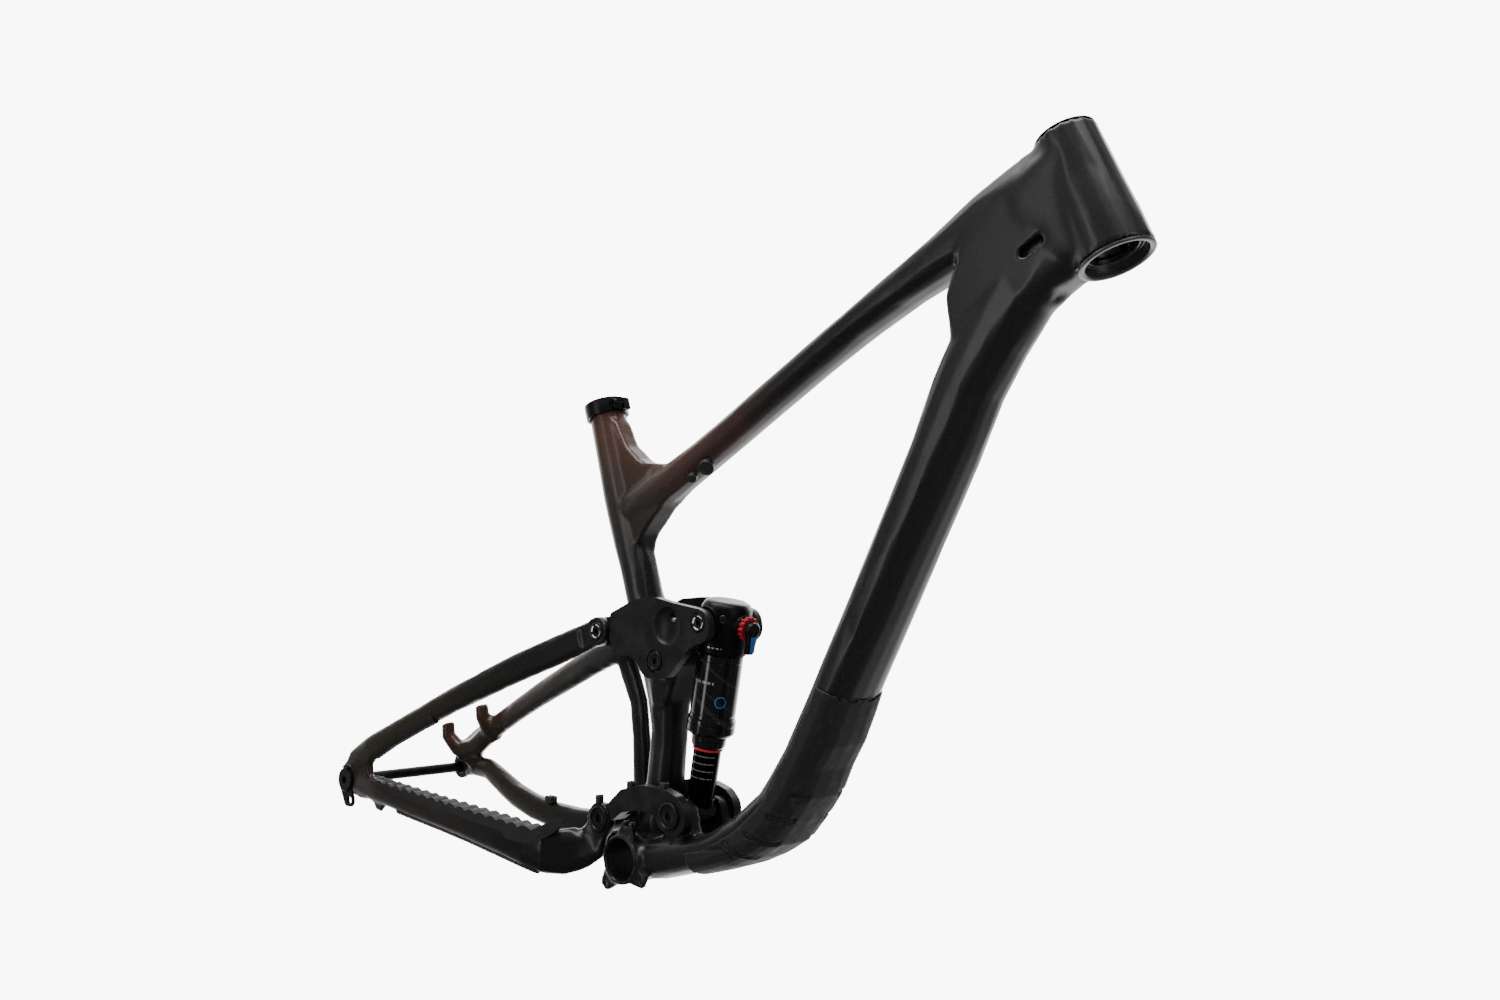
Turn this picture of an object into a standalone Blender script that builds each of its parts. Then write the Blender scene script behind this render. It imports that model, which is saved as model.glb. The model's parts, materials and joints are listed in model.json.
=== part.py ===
"""Full-suspension bicycle frame: carbon front triangle, carbon rear triangle, two links and an air shock.
Row frame: origin at the bottom-bracket centre, +X forward, +Y to the rider's left, +Z up. Sizes below in mm."""
import math
import bpy
import bmesh
from mathutils import Matrix, Vector

# ---- overall geometry (mm) -------------------------------------------------
HEAD_LOW = (502.9, 527.7)        # centre of the lower head-tube face (x, z)
HEAD_LEN = 110.3                 # head tube length
HEAD_ANGLE = 65.5                # from the ground, degrees
SEAT_TOP = (-87.4, 447.5)        # centre of the seat-tube top
SEAT_SLOPE = 71.7                # seat tube angle, degrees
AXLE = (-437.0, 27.0)            # rear wheel axle (x, z)
MAIN = (35.0, 193.0)             # rocker link pivot on the seat tube
STAY = (-47.5, 217.5)            # seatstay to rocker pivot
TRUN = (93.5, 232.5)             # shock head (trunnion) pivot
EYE = (63.0, 50.0)               # lower link front pivot and shock lower eye
REAR = (-40.0, 33.0)             # lower link rear pivot

# ---- fits and standard parts (mm) ------------------------------------------
GAP = 0.3                        # running clearance between pieces
FIT = 0.1                        # clearance of pieces that are pressed or bonded, and of the small pins
RUN = 0.08                       # radial clearance of the pivot pins in their bearings
OPEN = 2.8                       # radial clearance at the two pivots that stay open: the shock eye and the
                                 # rear barrel, which drift while the other pivots follow fixed ratios
BB_WIDTH, BB_BORE, BB_OUT = 92.0, 41.0, 47.0
HUB_WIDTH = 148.0                # between the dropouts
DROP_THICK = 8.0                 # non-drive side
DROP_DRIVE = 4.8                 # drive side, the hanger plate sits outside it
HANGER_THICK = 3.4
AXLE_DIA = 12.0
HEAD_R_LOW, HEAD_R_TOP = 31.3, 25.6
CUP_R_LOW, CUP_R_TOP = 28.0, 22.0
SEAT_BORE = 31.6
SEAT_OUT = 37.4
ROCK_IN, ROCK_OUT = 27.6, 36.4   # rocker plate faces, from the centre plane
TONGUE_IN, TONGUE_OUT = 21.4, 29.6
STAY_IN, STAY_OUT = 30.1, 40.0   # seatstay eye faces
LINK_IN, LINK_OUT = 27.7, 38.0   # lower link plate faces
BARREL = 28.3                    # half width of the lower link rear barrel
EAR_IN, EAR_OUT = 28.8, 38.0     # chainstay ear faces
LUG_IN, LUG_OUT = 14.6, 27.2     # front-triangle lugs either side of the shock eye
EYE_HALF = 11.5                  # half width of the shock lower eye
TRUNNION = 54.0                  # shock head width
PIVOT_R = 6.0                    # pivot pin radius
BEAR_R, BEAR_W = PIVOT_R + 5.0, 6.0    # pivot bearing outer radius and width
BARREL_BEAR_R = PIVOT_R + OPEN + 1.2   # outer radius of the rear barrel bearings
BUSH_R = PIVOT_R + OPEN + 1.4          # outer radius of the shock eye bushing
PORT = (444.5, 541.0)            # centre of the cable port (x, z)
PORT_LEN, PORT_R, PORT_TILT = 29.0, 4.4, 29.2

MM = 0.001
FINENESS = (12, 16, 24)          # sides of small, middling and large round pieces
FINE = 32                        # asks for the finest


# ---- helpers ----------------------------------------------------------------
def seg(count):
    """Round pieces come in three finenesses, so that a pin and its bore have the same facets."""
    return FINENESS[0] if count <= 16 else FINENESS[1] if count <= 28 else FINENESS[2]


def clear_scene():
    for ob in list(bpy.data.objects):
        bpy.data.objects.remove(ob, do_unlink=True)


def make_material(name, colour, rough, metal):
    mat = bpy.data.materials.new(name)
    mat.use_nodes = True
    bsdf = mat.node_tree.nodes["Principled BSDF"]
    bsdf.inputs["Base Color"].default_value = (*colour, 1.0)
    bsdf.inputs["Roughness"].default_value = rough
    bsdf.inputs["Metallic"].default_value = metal
    mat.diffuse_color = (*colour, 1.0)
    return mat


def new_object(name, bm):
    bmesh.ops.remove_doubles(bm, verts=bm.verts, dist=1e-6)
    bmesh.ops.recalc_face_normals(bm, faces=bm.faces)
    mesh = bpy.data.meshes.new(name)
    bm.to_mesh(mesh)
    bm.free()
    ob = bpy.data.objects.new(name, mesh)
    bpy.context.scene.collection.objects.link(ob)
    return ob


def bake(ob):
    """Apply every modifier of an object."""
    deps = bpy.context.evaluated_depsgraph_get()
    mesh = bpy.data.meshes.new_from_object(ob.evaluated_get(deps))
    ob.modifiers.clear()
    old = ob.data
    ob.data = mesh
    bpy.data.meshes.remove(old)
    return ob


def remove(ob):
    bpy.data.objects.remove(ob, do_unlink=True)


def tidy_mesh(ob):
    """Weld and drop the slivers a Boolean leaves; says whether the body is still closed."""
    bm = bmesh.new()
    bm.from_mesh(ob.data)
    bmesh.ops.remove_doubles(bm, verts=bm.verts, dist=0.004 * MM)
    bmesh.ops.dissolve_degenerate(bm, edges=bm.edges, dist=0.004 * MM)
    closed = all(edge.is_manifold for edge in bm.edges)
    if closed:
        bm.to_mesh(ob.data)
    bm.free()
    return closed


def combine(ob, other, operation):
    """Exact Boolean of two closed bodies; the second one is used up.
    A cutter that grazes an edge is moved by hundredths of a millimetre and tried again."""
    before = ob.data.copy()
    for attempt in range(10):
        other.location = Vector((math.cos(attempt * 2.4), 0.5 * math.sin(attempt * 1.7),
                                 math.sin(attempt * 2.4))) * (0.008 * attempt * MM)
        mod = ob.modifiers.new("Bool", "BOOLEAN")
        mod.solver = "EXACT"
        mod.operation = operation
        mod.object = other
        bpy.context.view_layer.update()
        bake(ob)
        if tidy_mesh(ob):
            break
        ob.data = before.copy()
    else:
        print("a Boolean stayed open:", ob.name, other.name, operation)
    remove(other)
    return ob


def cut(ob, *others):
    for other in others:
        combine(ob, other, "DIFFERENCE")
    return ob


def add(ob, *others):
    for other in others:
        combine(ob, other, "UNION")
    return ob


def bevel(ob, width, segments=1, angle=40):
    mod = ob.modifiers.new("Bevel", "BEVEL")
    mod.width = width * MM
    mod.segments = segments
    mod.limit_method = "ANGLE"
    mod.angle_limit = math.radians(angle)
    return bake(ob)


def loft(name, stations, sides=20):
    """Skin rings along a path. Station: x, y, z, half depth, half width, squareness."""
    bm = bmesh.new()
    sides = seg(sides)
    centres = [Vector(s[:3]) for s in stations]
    rings = []
    for i, s in enumerate(stations):
        t = (centres[min(i + 1, len(stations) - 1)] - centres[max(i - 1, 0)]).normalized()
        side = Vector((0, 1, 0))
        side = (side - t * side.dot(t)).normalized()
        deep = side.cross(t)
        ring = []
        for k in range(sides):
            c, d = math.cos(2 * math.pi * k / sides), math.sin(2 * math.pi * k / sides)
            u = math.copysign(abs(c) ** (2 / s[5]), c) * s[3]
            w = math.copysign(abs(d) ** (2 / s[5]), d) * s[4]
            ring.append(bm.verts.new((centres[i] + deep * u + side * w) * MM))
        rings.append(ring)
    for lo, hi in zip(rings, rings[1:]):
        for k in range(sides):
            bm.faces.new((lo[k], lo[(k + 1) % sides], hi[(k + 1) % sides], hi[k]))
    bm.faces.new(rings[0][::-1])
    bm.faces.new(rings[-1])
    return new_object(name, bm)


def mirror_y(stations):
    return [(s[0], -s[1], *s[2:]) for s in stations]


def rounded(points, steps=3):
    """Closed (x, z, corner radius) list turned into an outline with arcs."""
    out = []
    count = len(points)
    for i, (x, z, r) in enumerate(points):
        p = Vector((x, z))
        a = Vector(points[i - 1][:2]) - p
        b = Vector(points[(i + 1) % count][:2]) - p
        if r <= 0:
            out.append(p)
            continue
        half = a.angle(b) / 2
        reach = min(r / math.tan(half), a.length * 0.48, b.length * 0.48)
        radius = reach * math.tan(half)
        centre = p + (a.normalized() + b.normalized()).normalized() * (radius / math.sin(half))
        start, end = p + a.normalized() * reach - centre, p + b.normalized() * reach - centre
        sweep = start.angle_signed(end)
        for k in range(steps + 1):
            turn = -sweep * k / steps
            out.append(centre + Matrix.Rotation(turn, 2) @ start)
    return [(q.x, q.y) for q in out]


def plate(name, outline, y0, y1, soft=0.0):
    """Outline in the x-z plane extruded from y0 to y1."""
    bm = bmesh.new()
    a = [bm.verts.new((x * MM, y0 * MM, z * MM)) for x, z in outline]
    b = [bm.verts.new((x * MM, y1 * MM, z * MM)) for x, z in outline]
    count = len(outline)
    for k in range(count):
        bm.faces.new((a[k], a[(k + 1) % count], b[(k + 1) % count], b[k]))
    bm.faces.new(a)
    bm.faces.new(b[::-1])
    ob = new_object(name, bm)
    return bevel(ob, soft) if soft else ob


def frame_of(axis):
    """Matrix whose local Z points along the given axis."""
    return Vector(axis).normalized().to_track_quat("Z", "Y").to_matrix()


def turned(name, origin, axis, profile, sides=24, ring=False):
    """Body of revolution. Profile: (distance along the axis, radius)."""
    bm = bmesh.new()
    sides = seg(sides)
    rot, base = frame_of(axis), Vector(origin)
    rings = []
    for s, r in profile:
        if r <= 1e-6:
            rings.append([bm.verts.new((base + rot @ Vector((0, 0, s))) * MM)])
            continue
        rings.append([bm.verts.new((base + rot @ Vector((r * math.cos(2 * math.pi * k / sides),
                      r * math.sin(2 * math.pi * k / sides), s))) * MM) for k in range(sides)])
    pairs = list(zip(rings, rings[1:]))
    if ring:
        pairs.append((rings[-1], rings[0]))
    for lo, hi in pairs:
        for k in range(sides):
            n = (k + 1) % sides
            if len(lo) == 1:
                bm.faces.new((lo[0], hi[n], hi[k]))
            elif len(hi) == 1:
                bm.faces.new((lo[k], lo[n], hi[0]))
            else:
                bm.faces.new((lo[k], lo[n], hi[n], hi[k]))
    if not ring:
        for end in (rings[0], rings[-1]):
            if len(end) > 1:
                bm.faces.new(end)
    return new_object(name, bm)


def rod(name, origin, axis, r, s0, s1, sides=24):
    return turned(name, origin, axis, [(s0, 0), (s0, r), (s1, r), (s1, 0)], sides)


def pin_y(name, xz, r, y0, y1, sides=24):
    return rod(name, (xz[0], 0, xz[1]), (0, 1, 0), r, y0, y1, sides)


def bore(xz, side, steps, sides=24):
    """Stepped cutter along Y on one side. Steps: (distance from the centre plane, radius up to there)."""
    profile, last = [(steps[0][0], 0)], steps[0][0]
    for reach, r in steps[1:]:
        profile += [(last, r), (reach, r)]
        last = reach
    profile.append((last, 0))
    return turned("c", (xz[0], 0, xz[1]), (0, side, 0), profile, sides)


def washer(name, xz, r_in, r_out, y0, y1, sides=24):
    lo, hi = min(y0, y1), max(y0, y1)
    return turned(name, (xz[0], 0, xz[1]), (0, 1, 0),
                  [(lo, r_in), (lo, r_out), (hi, r_out), (hi, r_in)], sides, ring=True)


def box(name, lo, hi):
    bm = bmesh.new()
    bmesh.ops.create_cube(bm, size=1.0)
    for v in bm.verts:
        for i in range(3):
            v.co[i] = (lo[i] if v.co[i] < 0 else hi[i]) * MM
    return new_object(name, bm)


def merge_meshes(name, pieces):
    bm = bmesh.new()
    for ob in pieces:
        bm.from_mesh(ob.data)
        remove(ob)
    mesh = bpy.data.meshes.new(name)
    bm.to_mesh(mesh)
    bm.free()
    ob = bpy.data.objects.new(name, mesh)
    bpy.context.scene.collection.objects.link(ob)
    return ob


def moulded(name, pieces, grain, passes, faces):
    """Blend overlapping bodies into one moulded skin, then thin it to a face count."""
    ob = merge_meshes(name, pieces)
    mod = ob.modifiers.new("Remesh", "REMESH")
    mod.mode = "VOXEL"
    mod.voxel_size = grain * MM
    smooth = ob.modifiers.new("Smooth", "SMOOTH")
    smooth.factor = 0.5
    smooth.iterations = passes
    bake(ob)
    keep_largest(ob)
    tri = ob.modifiers.new("Tri", "TRIANGULATE")
    deci = ob.modifiers.new("Decimate", "DECIMATE")
    deci.ratio = min(1.0, faces / (2.0 * len(ob.data.polygons)))
    return bake(ob)


def keep_largest(ob):
    """Drop stray shells left by remeshing or by a cut."""
    bm = bmesh.new()
    bm.from_mesh(ob.data)
    bm.verts.ensure_lookup_table()
    seen, groups = set(), []
    for v in bm.verts:
        if v.index in seen:
            continue
        stack, group = [v], []
        seen.add(v.index)
        while stack:
            w = stack.pop()
            group.append(w)
            for e in w.link_edges:
                o = e.other_vert(w)
                if o.index not in seen:
                    seen.add(o.index)
                    stack.append(o)
        groups.append(group)
    groups.sort(key=len)
    for group in groups[:-1]:
        bmesh.ops.delete(bm, geom=group, context="VERTS")
    bm.to_mesh(ob.data)
    bm.free()
    return ob


def swollen(ob, amount):
    """Copy of a body grown outwards, used to keep a clearance."""
    copy = bpy.data.objects.new("swollen", ob.data.copy())
    bpy.context.scene.collection.objects.link(copy)
    mod = copy.modifiers.new("Grow", "DISPLACE")
    mod.strength = amount * MM
    mod.mid_level = 0.0
    return bake(copy)


def name_it(ob, name, material):
    ob.name = name
    ob.data.name = name
    ob.data.materials.clear()
    ob.data.materials.append(material)
    return ob


# ---- directions used by several pieces ---------------------------------------
HEAD_AXIS = (-math.cos(math.radians(HEAD_ANGLE)), 0.0, math.sin(math.radians(HEAD_ANGLE)))
SEAT_AXIS = (-math.cos(math.radians(SEAT_SLOPE)), 0.0, math.sin(math.radians(SEAT_SLOPE)))
HEAD_BASE = (HEAD_LOW[0], 0.0, HEAD_LOW[1])
SEAT_BASE = (SEAT_TOP[0], 0.0, SEAT_TOP[1])
SHOCK_AXIS = (EYE[0] - TRUN[0], 0.0, EYE[1] - TRUN[1])
SHOCK_LEN = math.hypot(SHOCK_AXIS[0], SHOCK_AXIS[2])
SHOCK_BASE = (TRUN[0], 0.0, TRUN[1])
SHOCK_FORE = (-SHOCK_AXIS[2] / SHOCK_LEN, 0.0, SHOCK_AXIS[0] / SHOCK_LEN)
DROP_IN = HUB_WIDTH / 2
DROP_OUT = DROP_IN + DROP_THICK
DRIVE_OUT = DROP_IN + DROP_DRIVE
HANGER_OUT = DRIVE_OUT + GAP + HANGER_THICK


# ---- front triangle ------------------------------------------------------------
DOWN_TUBE = [(464, 0, 541, 28, 24, 2.8), (423, 0, 512, 27, 26, 2.8), (392, 0, 475.5, 28, 28.5, 3.0),
             (369, 0, 436, 25.8, 30, 3.0), (349, 0, 389.5, 24, 31.5, 3.0), (327, 0, 344.5, 22.4, 33, 3.0),
             (282, 0, 254.5, 20.6, 34.5, 3.0), (237, 0, 166.5, 18.8, 36.5, 3.0), (213, 0, 120, 18.4, 38, 3.0),
             (186, 0, 76.5, 20.8, 39, 3.0), (149, 0, 44, 21.6, 39, 3.0), (108, 0, 23.5, 17.6, 39, 3.0),
             (66, 0, 11, 17.6, 39, 3.0), (30, 0, 2, 19.6, 39.5, 3.0), (4, 0, -1, 19, 40, 3.0)]
TOP_TUBE = [(-38, 0, 338, 20, 17, 2.4), (0, 0, 358, 19, 18.5, 2.4), (32, 0, 374, 16.6, 19.5, 2.4),
            (60, 0, 389, 15.2, 20, 2.4), (106, 0, 415, 14.6, 20.5, 2.4), (150, 0, 441, 14.4, 21, 2.4),
            (200, 0, 470, 14.4, 21.5, 2.4), (250, 0, 498, 14.4, 22.5, 2.4), (301, 0, 525, 16, 23.5, 2.6),
            (346, 0, 547, 19, 24.5, 2.8), (390, 0, 569, 25.6, 25, 2.8), (430, 0, 588.5, 28.6, 24, 2.6),
            (460, 0, 605, 26, 22, 2.6)]
SEAT_TUBE = [(-89.5, 0, 455.6, 18.7, 18.7, 2.0), (-72, 0, 400, 18.9, 18.9, 2.1), (-58, 0, 357, 20.4, 19, 2.2),
             (-43, 0, 316, 20, 19, 2.3), (-31.5, 0, 285, 18, 18.6, 2.4), (-19, 0, 248, 17.6, 18.6, 2.5),
             (-3, 0, 215, 19.5, 19.4, 2.7), (10, 0, 187, 21, 20, 2.9), (18, 0, 155, 20, 18.5, 2.9),
             (20, 0, 125, 16.4, 17, 2.9), (18, 0, 97, 16, 17, 2.9), (15.5, 0, 70, 17, 18, 2.8),
             (10, 0, 40, 21, 22, 2.6), (4, 0, 15, 22, 24, 2.4)]
SADDLE = [(-74, 430, 4), (-61, 432, 4), (-45, 405, 26), (-20, 387, 26), (18, 384, 4), (20, 362, 4), (-50, 340, 4)]
GUSSET = [(-50, 300, 4), (-21, 268, 4), (-20, 309, 34), (14, 344, 30), (52, 372, 4), (0, 380, 4)]
HEAD_WEB = [(360, 510, 14), (380, 562, 10), (430, 600, 10), (474, 560, 8), (452, 520, 10), (416, 486, 10),
            (371, 446, 10)]


def head_tube_body():
    over = 5.0
    return turned("head", HEAD_BASE, HEAD_AXIS,
                  [(-over, 0), (-over, HEAD_R_LOW + 0.6), (0, HEAD_R_LOW + 0.5), (30, HEAD_R_LOW - 0.8),
                   (HEAD_LEN * 0.6, HEAD_R_TOP + 2.4), (HEAD_LEN, HEAD_R_TOP + 0.5),
                   (HEAD_LEN + over, HEAD_R_TOP + 0.4), (HEAD_LEN + over, 0)], 32)


def port_corners():
    """Corners of the slot round the cable port, in the side view."""
    a = math.radians(PORT_TILT)
    half, out = PORT_LEN / 2, PORT_R * 0.99
    return [(PORT[0] + u * half * math.cos(a) - v * out * math.sin(a),
             PORT[1] + u * half * math.sin(a) + v * out * math.cos(a)) for u, v in ((-1, 1), (-1, -1), (1, -1), (1, 1))]


TAB_HOLES = ((6.0, 34.0), (-23.6, -27.0), (28.6, -17.0))


def chain_guide_tabs():
    """Three threaded tabs round the bottom bracket on the drive side."""
    tabs = []
    for x, z in TAB_HOLES:
        reach = math.hypot(x, z)
        dx, dz = x / reach, z / reach
        px, pz = -dz, dx
        outline = [(dx * 16 + px * 14, dz * 16 + pz * 14, 2), (dx * 16 - px * 14, dz * 16 - pz * 14, 2),
                   (x - px * 6.5 + dx * 1, z - pz * 6.5 + dz * 1, 4), (x - px * 5 + dx * 3.6, z - pz * 5 + dz * 3.6, 4.5),
                   (x + px * 5 + dx * 3.6, z + pz * 5 + dz * 3.6, 4.5), (x + px * 6.5 + dx * 1, z + pz * 6.5 + dz * 1, 4)]
        tabs.append(plate("tab", rounded(outline, 3), -42.5, -35.5, 0.7))
    return tabs


def eye_lug(side):
    outline = rounded([(EYE[0] - 13.5, EYE[1] + 13.5, 13.4), (EYE[0] + 13.5, EYE[1] + 13.5, 13.4),
                       (EYE[0] + 24, 16, 4), (EYE[0] - 24, 14, 4)], 5)
    return plate("lug", outline, side * LUG_IN, side * LUG_OUT, 0.0)


def duplicate(ob):
    copy = bpy.data.objects.new("copy", ob.data.copy())
    bpy.context.scene.collection.objects.link(copy)
    return copy


def front_triangle():
    """The finished front triangle, and its uncut skin for fitting the rubber guard."""
    boss = pin_y("boss", MAIN, 16.5, -28, 28, 32)
    boss_web = plate("web", rounded([(8, 205, 5), (40, 209, 8), (51, 192, 8), (36, 150, 12), (14, 150, 6)]),
                     -21.5, 21.5)
    shell = pin_y("shell", (0, 0), BB_OUT / 2 + 0.6, -51, 51, 40)
    web = plate("headweb", rounded(HEAD_WEB), -25.5, 25.5)
    saddle = plate("saddle", rounded(SADDLE, 6), -11.5, 11.5)
    gusset = plate("gusset", rounded(GUSSET, 6), -14.0, 14.0)
    ob = moulded("front_triangle", [head_tube_body(), loft("dt", DOWN_TUBE, 32), loft("tt", TOP_TUBE, 28),
                 loft("st", SEAT_TUBE, 28), boss, boss_web, shell, web, saddle, gusset], 2.6, 9, 2150)
    skin = duplicate(ob)
    # square ends
    lo = tuple(HEAD_BASE[i] - HEAD_AXIS[i] * 30 for i in range(3))
    cut(ob, rod("c", lo, HEAD_AXIS, 60, 0, 30, 16), rod("c", HEAD_BASE, HEAD_AXIS, 60, HEAD_LEN, HEAD_LEN + 30, 16))
    cut(ob, rod("c", SEAT_BASE, SEAT_AXIS, 40, 0, 30, 16))
    for s in (-1, 1):
        y0, y1 = sorted((s * BB_WIDTH / 2, s * 70))
        cut(ob, box("c", (-60, y0, -60), (60, y1, 60)))
        y0, y1 = sorted((s * (ROCK_IN - GAP - 1.7), s * 60))
        cut(ob, box("c", (-75, y0, 150), (140, y1, 262)))
        y0, y1 = sorted((s * (TONGUE_IN - 0.8), s * 60))
        cut(ob, box("c", (-75, y0, 212), (12, y1, 300)))
        add(ob, eye_lug(s))
        y0, y1 = sorted((s * LUG_OUT, s * 60))
        cut(ob, pin_y("c", EYE, 20.5, y0, y1, 32))
    for tab in chain_guide_tabs():
        add(ob, tab)
    # slot for the shock eye between the lugs
    cut(ob, box("c", (EYE[0] - 30, -LUG_IN, EYE[1] - 17), (EYE[0] + 34, LUG_IN, EYE[1] + 30)))
    # bores
    cut(ob, pin_y("c", (0, 0), BB_BORE / 2, -60, 60, 40))
    cut(ob, turned("c", HEAD_BASE, HEAD_AXIS,
                   [(-5, 0), (-5, CUP_R_LOW + FIT), (14, CUP_R_LOW + FIT), (16, CUP_R_TOP + 1.5),
                    (HEAD_LEN - 13, CUP_R_TOP + FIT), (HEAD_LEN + 5, CUP_R_TOP + FIT), (HEAD_LEN + 5, 0)], 40))
    cut(ob, rod("c", SEAT_BASE, SEAT_AXIS, SEAT_BORE / 2, -170, 10, 32))
    cut(ob, pin_y("c", MAIN, PIVOT_R + FIT, -60, 60, FINE))
    cut(ob, pin_y("c", EYE, PIVOT_R + FIT, -60, 60, FINE))
    for hole in TAB_HOLES:
        cut(ob, pin_y("c", hole, 2.6, -50, -30, 12))
    # cable ports on both sides of the head
    port = rounded([(x, z, PORT_R) for x, z in port_corners()])
    for s in (-1, 1):
        y0, y1 = sorted((s * 17, s * 45))
        cut(ob, plate("c", port, y0, y1))
    for centre, axis, r, depth in TT_PLUGS:
        cut(ob, rod("c", centre, axis, r + FIT, -depth - 1.0, 12, 20))
    cut(ob, rod("c", (57, -30, 25), (0, -1, 0.25), 2.4, -6, 14, 12))
    return keep_largest(ob), skin


TT_PLUGS = [((81, -16.5, 379), (0.45, -0.75, -0.48), 7.6, 3.0), ((62.5, -17.0, 369.5), (0.45, -0.75, -0.48), 4.6, 3.0)]


def head_cups():
    upper = turned("u", HEAD_BASE, HEAD_AXIS,
                   [(HEAD_LEN - 12, CUP_R_TOP - 2), (HEAD_LEN - 12, CUP_R_TOP), (HEAD_LEN + FIT, CUP_R_TOP),
                    (HEAD_LEN + FIT, HEAD_R_TOP - 0.4), (HEAD_LEN + 1.6, HEAD_R_TOP - 0.6),
                    (HEAD_LEN + 1.6, CUP_R_TOP - 2)], 36, ring=True)
    lower = turned("l", HEAD_BASE, HEAD_AXIS,
                   [(13, CUP_R_LOW), (13, CUP_R_LOW - 2.5), (-2.6, CUP_R_LOW - 2.5), (-3.0, CUP_R_LOW - 1.5),
                    (-3.0, HEAD_R_LOW - 0.9), (-2.2, HEAD_R_LOW), (-0.6, HEAD_R_LOW), (-0.6, CUP_R_LOW)], 40, ring=True)
    return upper, lower


def seat_clamp():
    """Split collar with two ears at the front and a bolt across them."""
    r_in, r_out = SEAT_OUT / 2 + GAP + 0.4, SEAT_OUT / 2 + 3.4
    ring = turned("clamp", SEAT_BASE, SEAT_AXIS,
                  [(-13, r_in), (-13, r_out), (-0.5, r_out + 0.3), (2.4, r_out), (2.4, SEAT_BORE / 2 + 0.8),
                   (0.7, SEAT_BORE / 2 + 0.8), (0.7, r_in)], 36, ring=True)
    fore = Vector((SEAT_AXIS[2], 0, -SEAT_AXIS[0]))
    mid = Vector(SEAT_BASE) + Vector(SEAT_AXIS) * -5.5

    def across(lo, hi, near, far, low, high):
        bm = bmesh.new()
        bmesh.ops.create_cube(bm, size=1.0)
        for v in bm.verts:
            f = near if v.co.x < 0 else far
            y = lo if v.co.y < 0 else hi
            h = low if v.co.z < 0 else high
            v.co = (mid + fore * f + Vector((0, y, 0)) + Vector(SEAT_AXIS) * h) * MM
        return new_object("ear", bm)

    ears = across(-11, 11, r_in + 1.0, r_out + 3.2, -6.5, 6.5)
    add(ring, bevel(ears, 1.6, 2))
    cut(ring, across(-1.3, 1.3, r_in - 8, r_out + 12, -12, 12))
    bolt_at = mid + fore * (r_out + 0.5)
    cut(ring, rod("c", bolt_at, (0, 1, 0), 2.7, -20, 20, 16))
    cut(ring, rod("c", bolt_at, (0, 1, 0), 4.6, -20, -8.2, 16))
    bolt = turned("b", bolt_at, (0, -1, 0), [(-10.5, 0), (-10.5, 2.4), (8.4, 2.4), (8.4, 4.3), (11.2, 4.3),
                                             (11.5, 4.0), (11.5, 2.0), (9.4, 2.0), (9.4, 0)], 16)
    return ring, bolt


def guard_shell(stations, thick, sides, reach):
    """Chunky pad wrapped round the front and underside of the down tube."""
    bm = bmesh.new()
    centres = [Vector(s[:3]) for s in stations]
    rings = []
    for i, s in enumerate(stations):
        t = (centres[min(i + 1, len(stations) - 1)] - centres[max(i - 1, 0)]).normalized()
        side = Vector((0, 1, 0))
        deep = side.cross(t)
        if deep.z > 0:
            deep = -deep
        ring = []
        for grow, order in ((thick, range(sides + 1)), (-3.0, range(sides, -1, -1))):
            for k in order:
                ang = math.radians(-reach + 2 * reach * k / sides)
                c, d = math.cos(ang), math.sin(ang)
                u = math.copysign(abs(c) ** (2 / s[5]), c) * (s[3] + grow)
                w = math.copysign(abs(d) ** (2 / s[5]), d) * (s[4] + grow)
                ring.append(bm.verts.new((centres[i] + deep * u + side * w) * MM))
        rings.append(ring)
    count = len(rings[0])
    for lo, hi in zip(rings, rings[1:]):
        for k in range(count):
            bm.faces.new((lo[k], lo[(k + 1) % count], hi[(k + 1) % count], hi[k]))
    bm.faces.new(rings[0])
    bm.faces.new(rings[-1][::-1])
    return new_object("guard", bm)


def down_tube_guard(front):
    path = [(244, 0, 184, 19.2, 36.2, 3.0), (237, 0, 166.5, 19.4, 36.5, 3.0), (225, 0, 142.5, 20.8, 37.3, 3.0),
            (213, 0, 120, 19, 38, 3.0), (200, 0, 97.5, 22.2, 38.5, 3.0), (186, 0, 76.5, 21.2, 39, 3.0),
            (168, 0, 58.5, 24.4, 39, 3.0), (149, 0, 44, 22, 39, 3.0), (128, 0, 32.5, 20.2, 39, 3.0),
            (108, 0, 23.5, 18, 39, 3.0), (86, 0, 16.5, 17.8, 39, 3.0)]
    ob = guard_shell(path, 2.4, 12, 94)
    cut(ob, swollen(front, GAP))
    return keep_largest(ob)


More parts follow.
